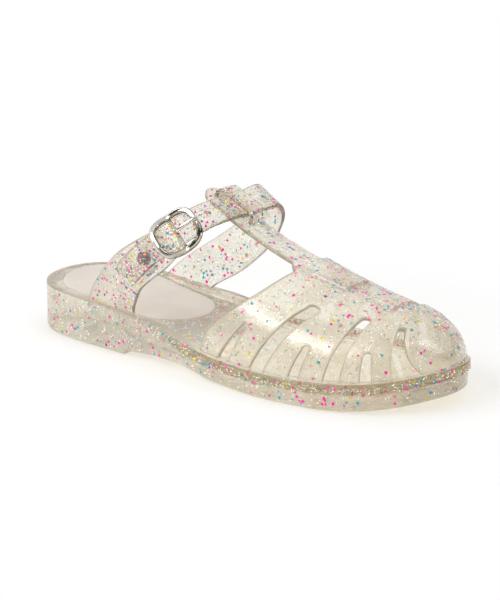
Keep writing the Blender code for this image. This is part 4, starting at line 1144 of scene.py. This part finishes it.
def finish_of(group, name, colours, scales, rough, bump, constants):
    """Material of a Principled shader fed by the surface group, with a bump and constants on its sockets."""
    material = bpy.data.materials.new(name)
    material.use_nodes = True
    tree = material.node_tree
    shader = tree.nodes["Principled BSDF"]
    values = zip(("Pale", "Deep", "Cloud Scale", "Grain Scale", "Smooth", "Dull"),
                 (*map(tint, colours), *scales, *rough))
    uneven = add_node(tree, "Group", node_tree=group)
    for key, value in values:
        uneven.inputs[key].default_value = value
    raised = {"Strength": bump[0], "Distance": bump[1], "Height": uneven.outputs["Height"]}
    relief = add_node(tree, "Bump", raised)
    tree.links.new(uneven.outputs["Colour"], shader.inputs["Base Color"])
    tree.links.new(uneven.outputs["Roughness"], shader.inputs["Roughness"])
    tree.links.new(relief.outputs[0], shader.inputs["Normal"])
    for key, value in constants.items():
        shader.inputs[key].default_value = value
    return material


def with_painted_shade(material, colour):
    """The material with painted shade: a second, darker tint where the mesh's point attribute shade asks for
    it.
    """
    tree = material.node_tree
    uneven = next(n for n in tree.nodes if n.type == "GROUP")
    shade = add_node(tree, "Attribute", attribute_name="shade").outputs["Fac"]
    tree.links.new(shade, uneven.inputs["Shade"])
    uneven.inputs["Shade Colour"].default_value = tint(colour)
    return material


def clear_plastic(group, name, colours, clear, rough, density):
    """Clear soft plastic: glass with a little body colour, painted shade where its mesh asks, absorption
    inside, and lamps let through.
    """
    constants = {"Transmission Weight": clear, "IOR": PLASTIC_IOR}
    material = finish_of(group, name, colours, PLASTIC_SCALES, rough, PLASTIC_BUMP, constants)
    tree = with_painted_shade(material, PAINTED_SHADE_TINT).node_tree
    shader, out = tree.nodes["Principled BSDF"], tree.nodes["Material Output"]
    shadow = add_node(tree, "LightPath").outputs["Is Shadow Ray"]
    open_way = add_node(tree, "BsdfTransparent", {"Color": tint(SHADOW_TINT)})
    mixed = add_node(tree, "MixShader", {0: shadow, 1: shader.outputs[0], 2: open_way.outputs[0]})
    tree.links.new(mixed.outputs[0], out.inputs["Surface"])
    body = add_node(tree, "VolumeAbsorption", {"Color": tint(INSIDE_TINT), "Density": density})
    tree.links.new(body.outputs[0], out.inputs["Volume"])
    return material


def chip_finish(name, group, colours, metallic, painted_glow):
    """Finish of chips: plain colours with a little painted light of their own, which no lamp gives."""
    constants = {"Metallic": metallic, "Emission Strength": painted_glow, "Emission Color": tint(colours[0])}
    return finish_of(group, name, colours, CHIP_SCALES, CHIP_ROUGH, CHIP_BUMP, constants)


# Stage


def make_floor():
    """Pale floor under the shoe that turns white further out for the camera."""
    paint = bpy.data.materials.new("pale floor")
    paint.use_nodes = True
    tree = paint.node_tree
    shader, out = tree.nodes["Principled BSDF"], tree.nodes["Material Output"]
    for key, value in FLOOR_LOOK.items():
        shader.inputs[key].default_value = value
    where = add_node(tree, "TexCoord").outputs["Object"]
    away = add_node(tree, "VectorMath", {0: where}, operation="LENGTH").outputs["Value"]
    direct = add_node(tree, "LightPath").outputs["Is Camera Ray"]
    share = maths(tree, "MULTIPLY", spread(tree, away, *GLOW_FROM, 0.0, 1.0), direct)
    white = add_node(tree, "Emission", {"Strength": 1.0})
    mixed = add_node(tree, "MixShader", {0: share, 1: shader.outputs[0], 2: white.outputs[0]})
    tree.links.new(mixed.outputs[0], out.inputs["Surface"])
    corners = np.array([(-1, -1, 0), (1, -1, 0), (1, 1, 0), (-1, 1, 0)]) * FLOOR_HALF / MM
    mesh = mesh_of("floor", corners, [(0, 1, 2, 3)])
    mesh.materials.append(paint)
    floor = linked("floor", mesh)
    floor.location.z = -FLOOR_DROP


def make_world():
    """Sky that darkens to the horizon with a pale backdrop behind the shoe, white for the camera.

    The low sky is darker after a mirror and the backdrop in first reflections, so metal keeps its blacks.
    """
    world = bpy.data.worlds.new("studio")
    bpy.context.scene.world = world
    world.use_nodes = True
    tree = world.node_tree
    toward = add_node(tree, "TexCoord").outputs["Generated"]
    height = add_node(tree, "SeparateXYZ", {0: toward}).outputs["Z"]
    behind = add_node(tree, "VectorMath", {0: toward, 1: BACKDROP}, operation="DOT_PRODUCT").outputs["Value"]
    path = add_node(tree, "LightPath").outputs
    early = maths(tree, "LESS_THAN", path["Ray Depth"], FIRST_BOUNCE)
    first = maths(tree, "MULTIPLY", early, path["Is Reflection Ray"])
    level = spread(tree, first, 0.0, 1.0, BACKDROP_LEVEL, BACKDROP_MIRRORED)
    mirrored = maths(tree, "GREATER_THAN", path["Glossy Depth"], ANY_MIRROR)
    low = spread(tree, mirrored, 0.0, 1.0, SKY_LOW, SKY_LOW_MIRRORED)
    shade = spread(tree, height, *SKY_RANGE, low, SKY_HIGH)
    for other in (spread(tree, behind, *BACKDROP_RANGE, 0.0, level), path["Is Camera Ray"]):
        shade = maths(tree, "MAXIMUM", shade, other)
    background = tree.nodes["Background"].inputs
    tree.links.new(shade, background["Strength"])
    background["Color"].default_value = (1.0, 1.0, 1.0, 1.0)


def aimed(made, place, aim):
    """The object stood at a place and turned to look at its aim."""
    made.location = place
    made.rotation_mode = "QUATERNION"
    made.rotation_quaternion = (Vector(aim) - Vector(place)).to_track_quat("-Z", "Y")
    return made


def make_soft_boxes():
    """Area lamps aimed at the shoe."""
    for name, place, size, power in SOFT_BOXES:
        data = bpy.data.lights.new(name, "AREA")
        data.shape = "RECTANGLE"
        data.size, data.size_y = size
        data.energy = power
        aimed(linked(name, data), place, BOX_AIM)


def make_camera():
    """Camera at the photograph's angle, aimed at the middle of the shoe."""
    turn, rise = np.radians(VIEW_TURN), np.radians(VIEW_RISE)
    right = Vector((np.cos(turn), np.sin(turn), 0.0))
    back = Vector((np.sin(turn) * np.cos(rise), -np.cos(turn) * np.cos(rise), np.sin(rise)))
    aim = right * VIEW_AIM[0] + back.cross(right) * VIEW_AIM[1]
    data = bpy.data.cameras.new("camera")
    data.lens, data.sensor_width = LENS, SENSOR
    bpy.context.scene.camera = aimed(linked("camera", data), back * VIEW_FAR, aim)


def dress():
    """All skins over their solids, with the chips inside the clear ones."""
    group = surface_group()
    clear, cream, hazy = (clear_plastic(group, *row) for row in PLASTICS)
    pad, chrome, dark_metal = (finish_of(group, *row) for row in OPAQUE)
    # painted dark reflection on the buckle frame's edges
    with_painted_shade(chrome, FRAME_PAINTED_REFLECTION)
    sheet_parts = upper_sheet()
    strap = strap_frames(STRAP + (strap_foot(1),))
    bar = bar_frame(strap)
    middle, along, across, out = bar
    end = middle - out * (BAR_RADIUS + BAR_GAP + STRAP_WALL / 2.0)
    pitch = np.degrees(np.arcsin(-across[2]))
    tab = strap_frames((strap_foot(-1),) + TAB + ((*end, TAB_END_WIDTH, pitch),))
    keeper = keeper_frames()
    make_sole(hazy)
    make_pad(pad)
    make_upper(cream, sheet_parts)
    tipped = round_tip(strap)
    instep = make_strap("instep_strap_skin", tipped, STRAP_WALL, STRAP_EDGE, clear, ["instep_strap"])
    spare = int(SPARE_HOLE_ROW * STRAP_PER)
    drilled(instep, middle + along * HOLE_AHEAD + out * HOLE_UP, out, HOLE_RADIUS)
    drilled(instep, strap[0][spare], strap[3][spare], SPARE_HOLE_RADIUS)
    make_strap("buckle_tab_skin", tab, STRAP_WALL, STRAP_EDGE, clear, ["buckle_tab"])
    make_strap("keeper_skin", keeper, KEEPER_WALL, KEEPER_EDGE, clear)
    make_buckle(bar, chrome)
    make_prong(bar, chrome)
    make_rivet(tab, dark_metal)
    make_chips(group, sheet_parts, (tipped, tab, keeper))


dress()
make_floor()
make_world()
make_soft_boxes()
make_camera()
bpy.context.scene.view_settings.view_transform = "Standard"
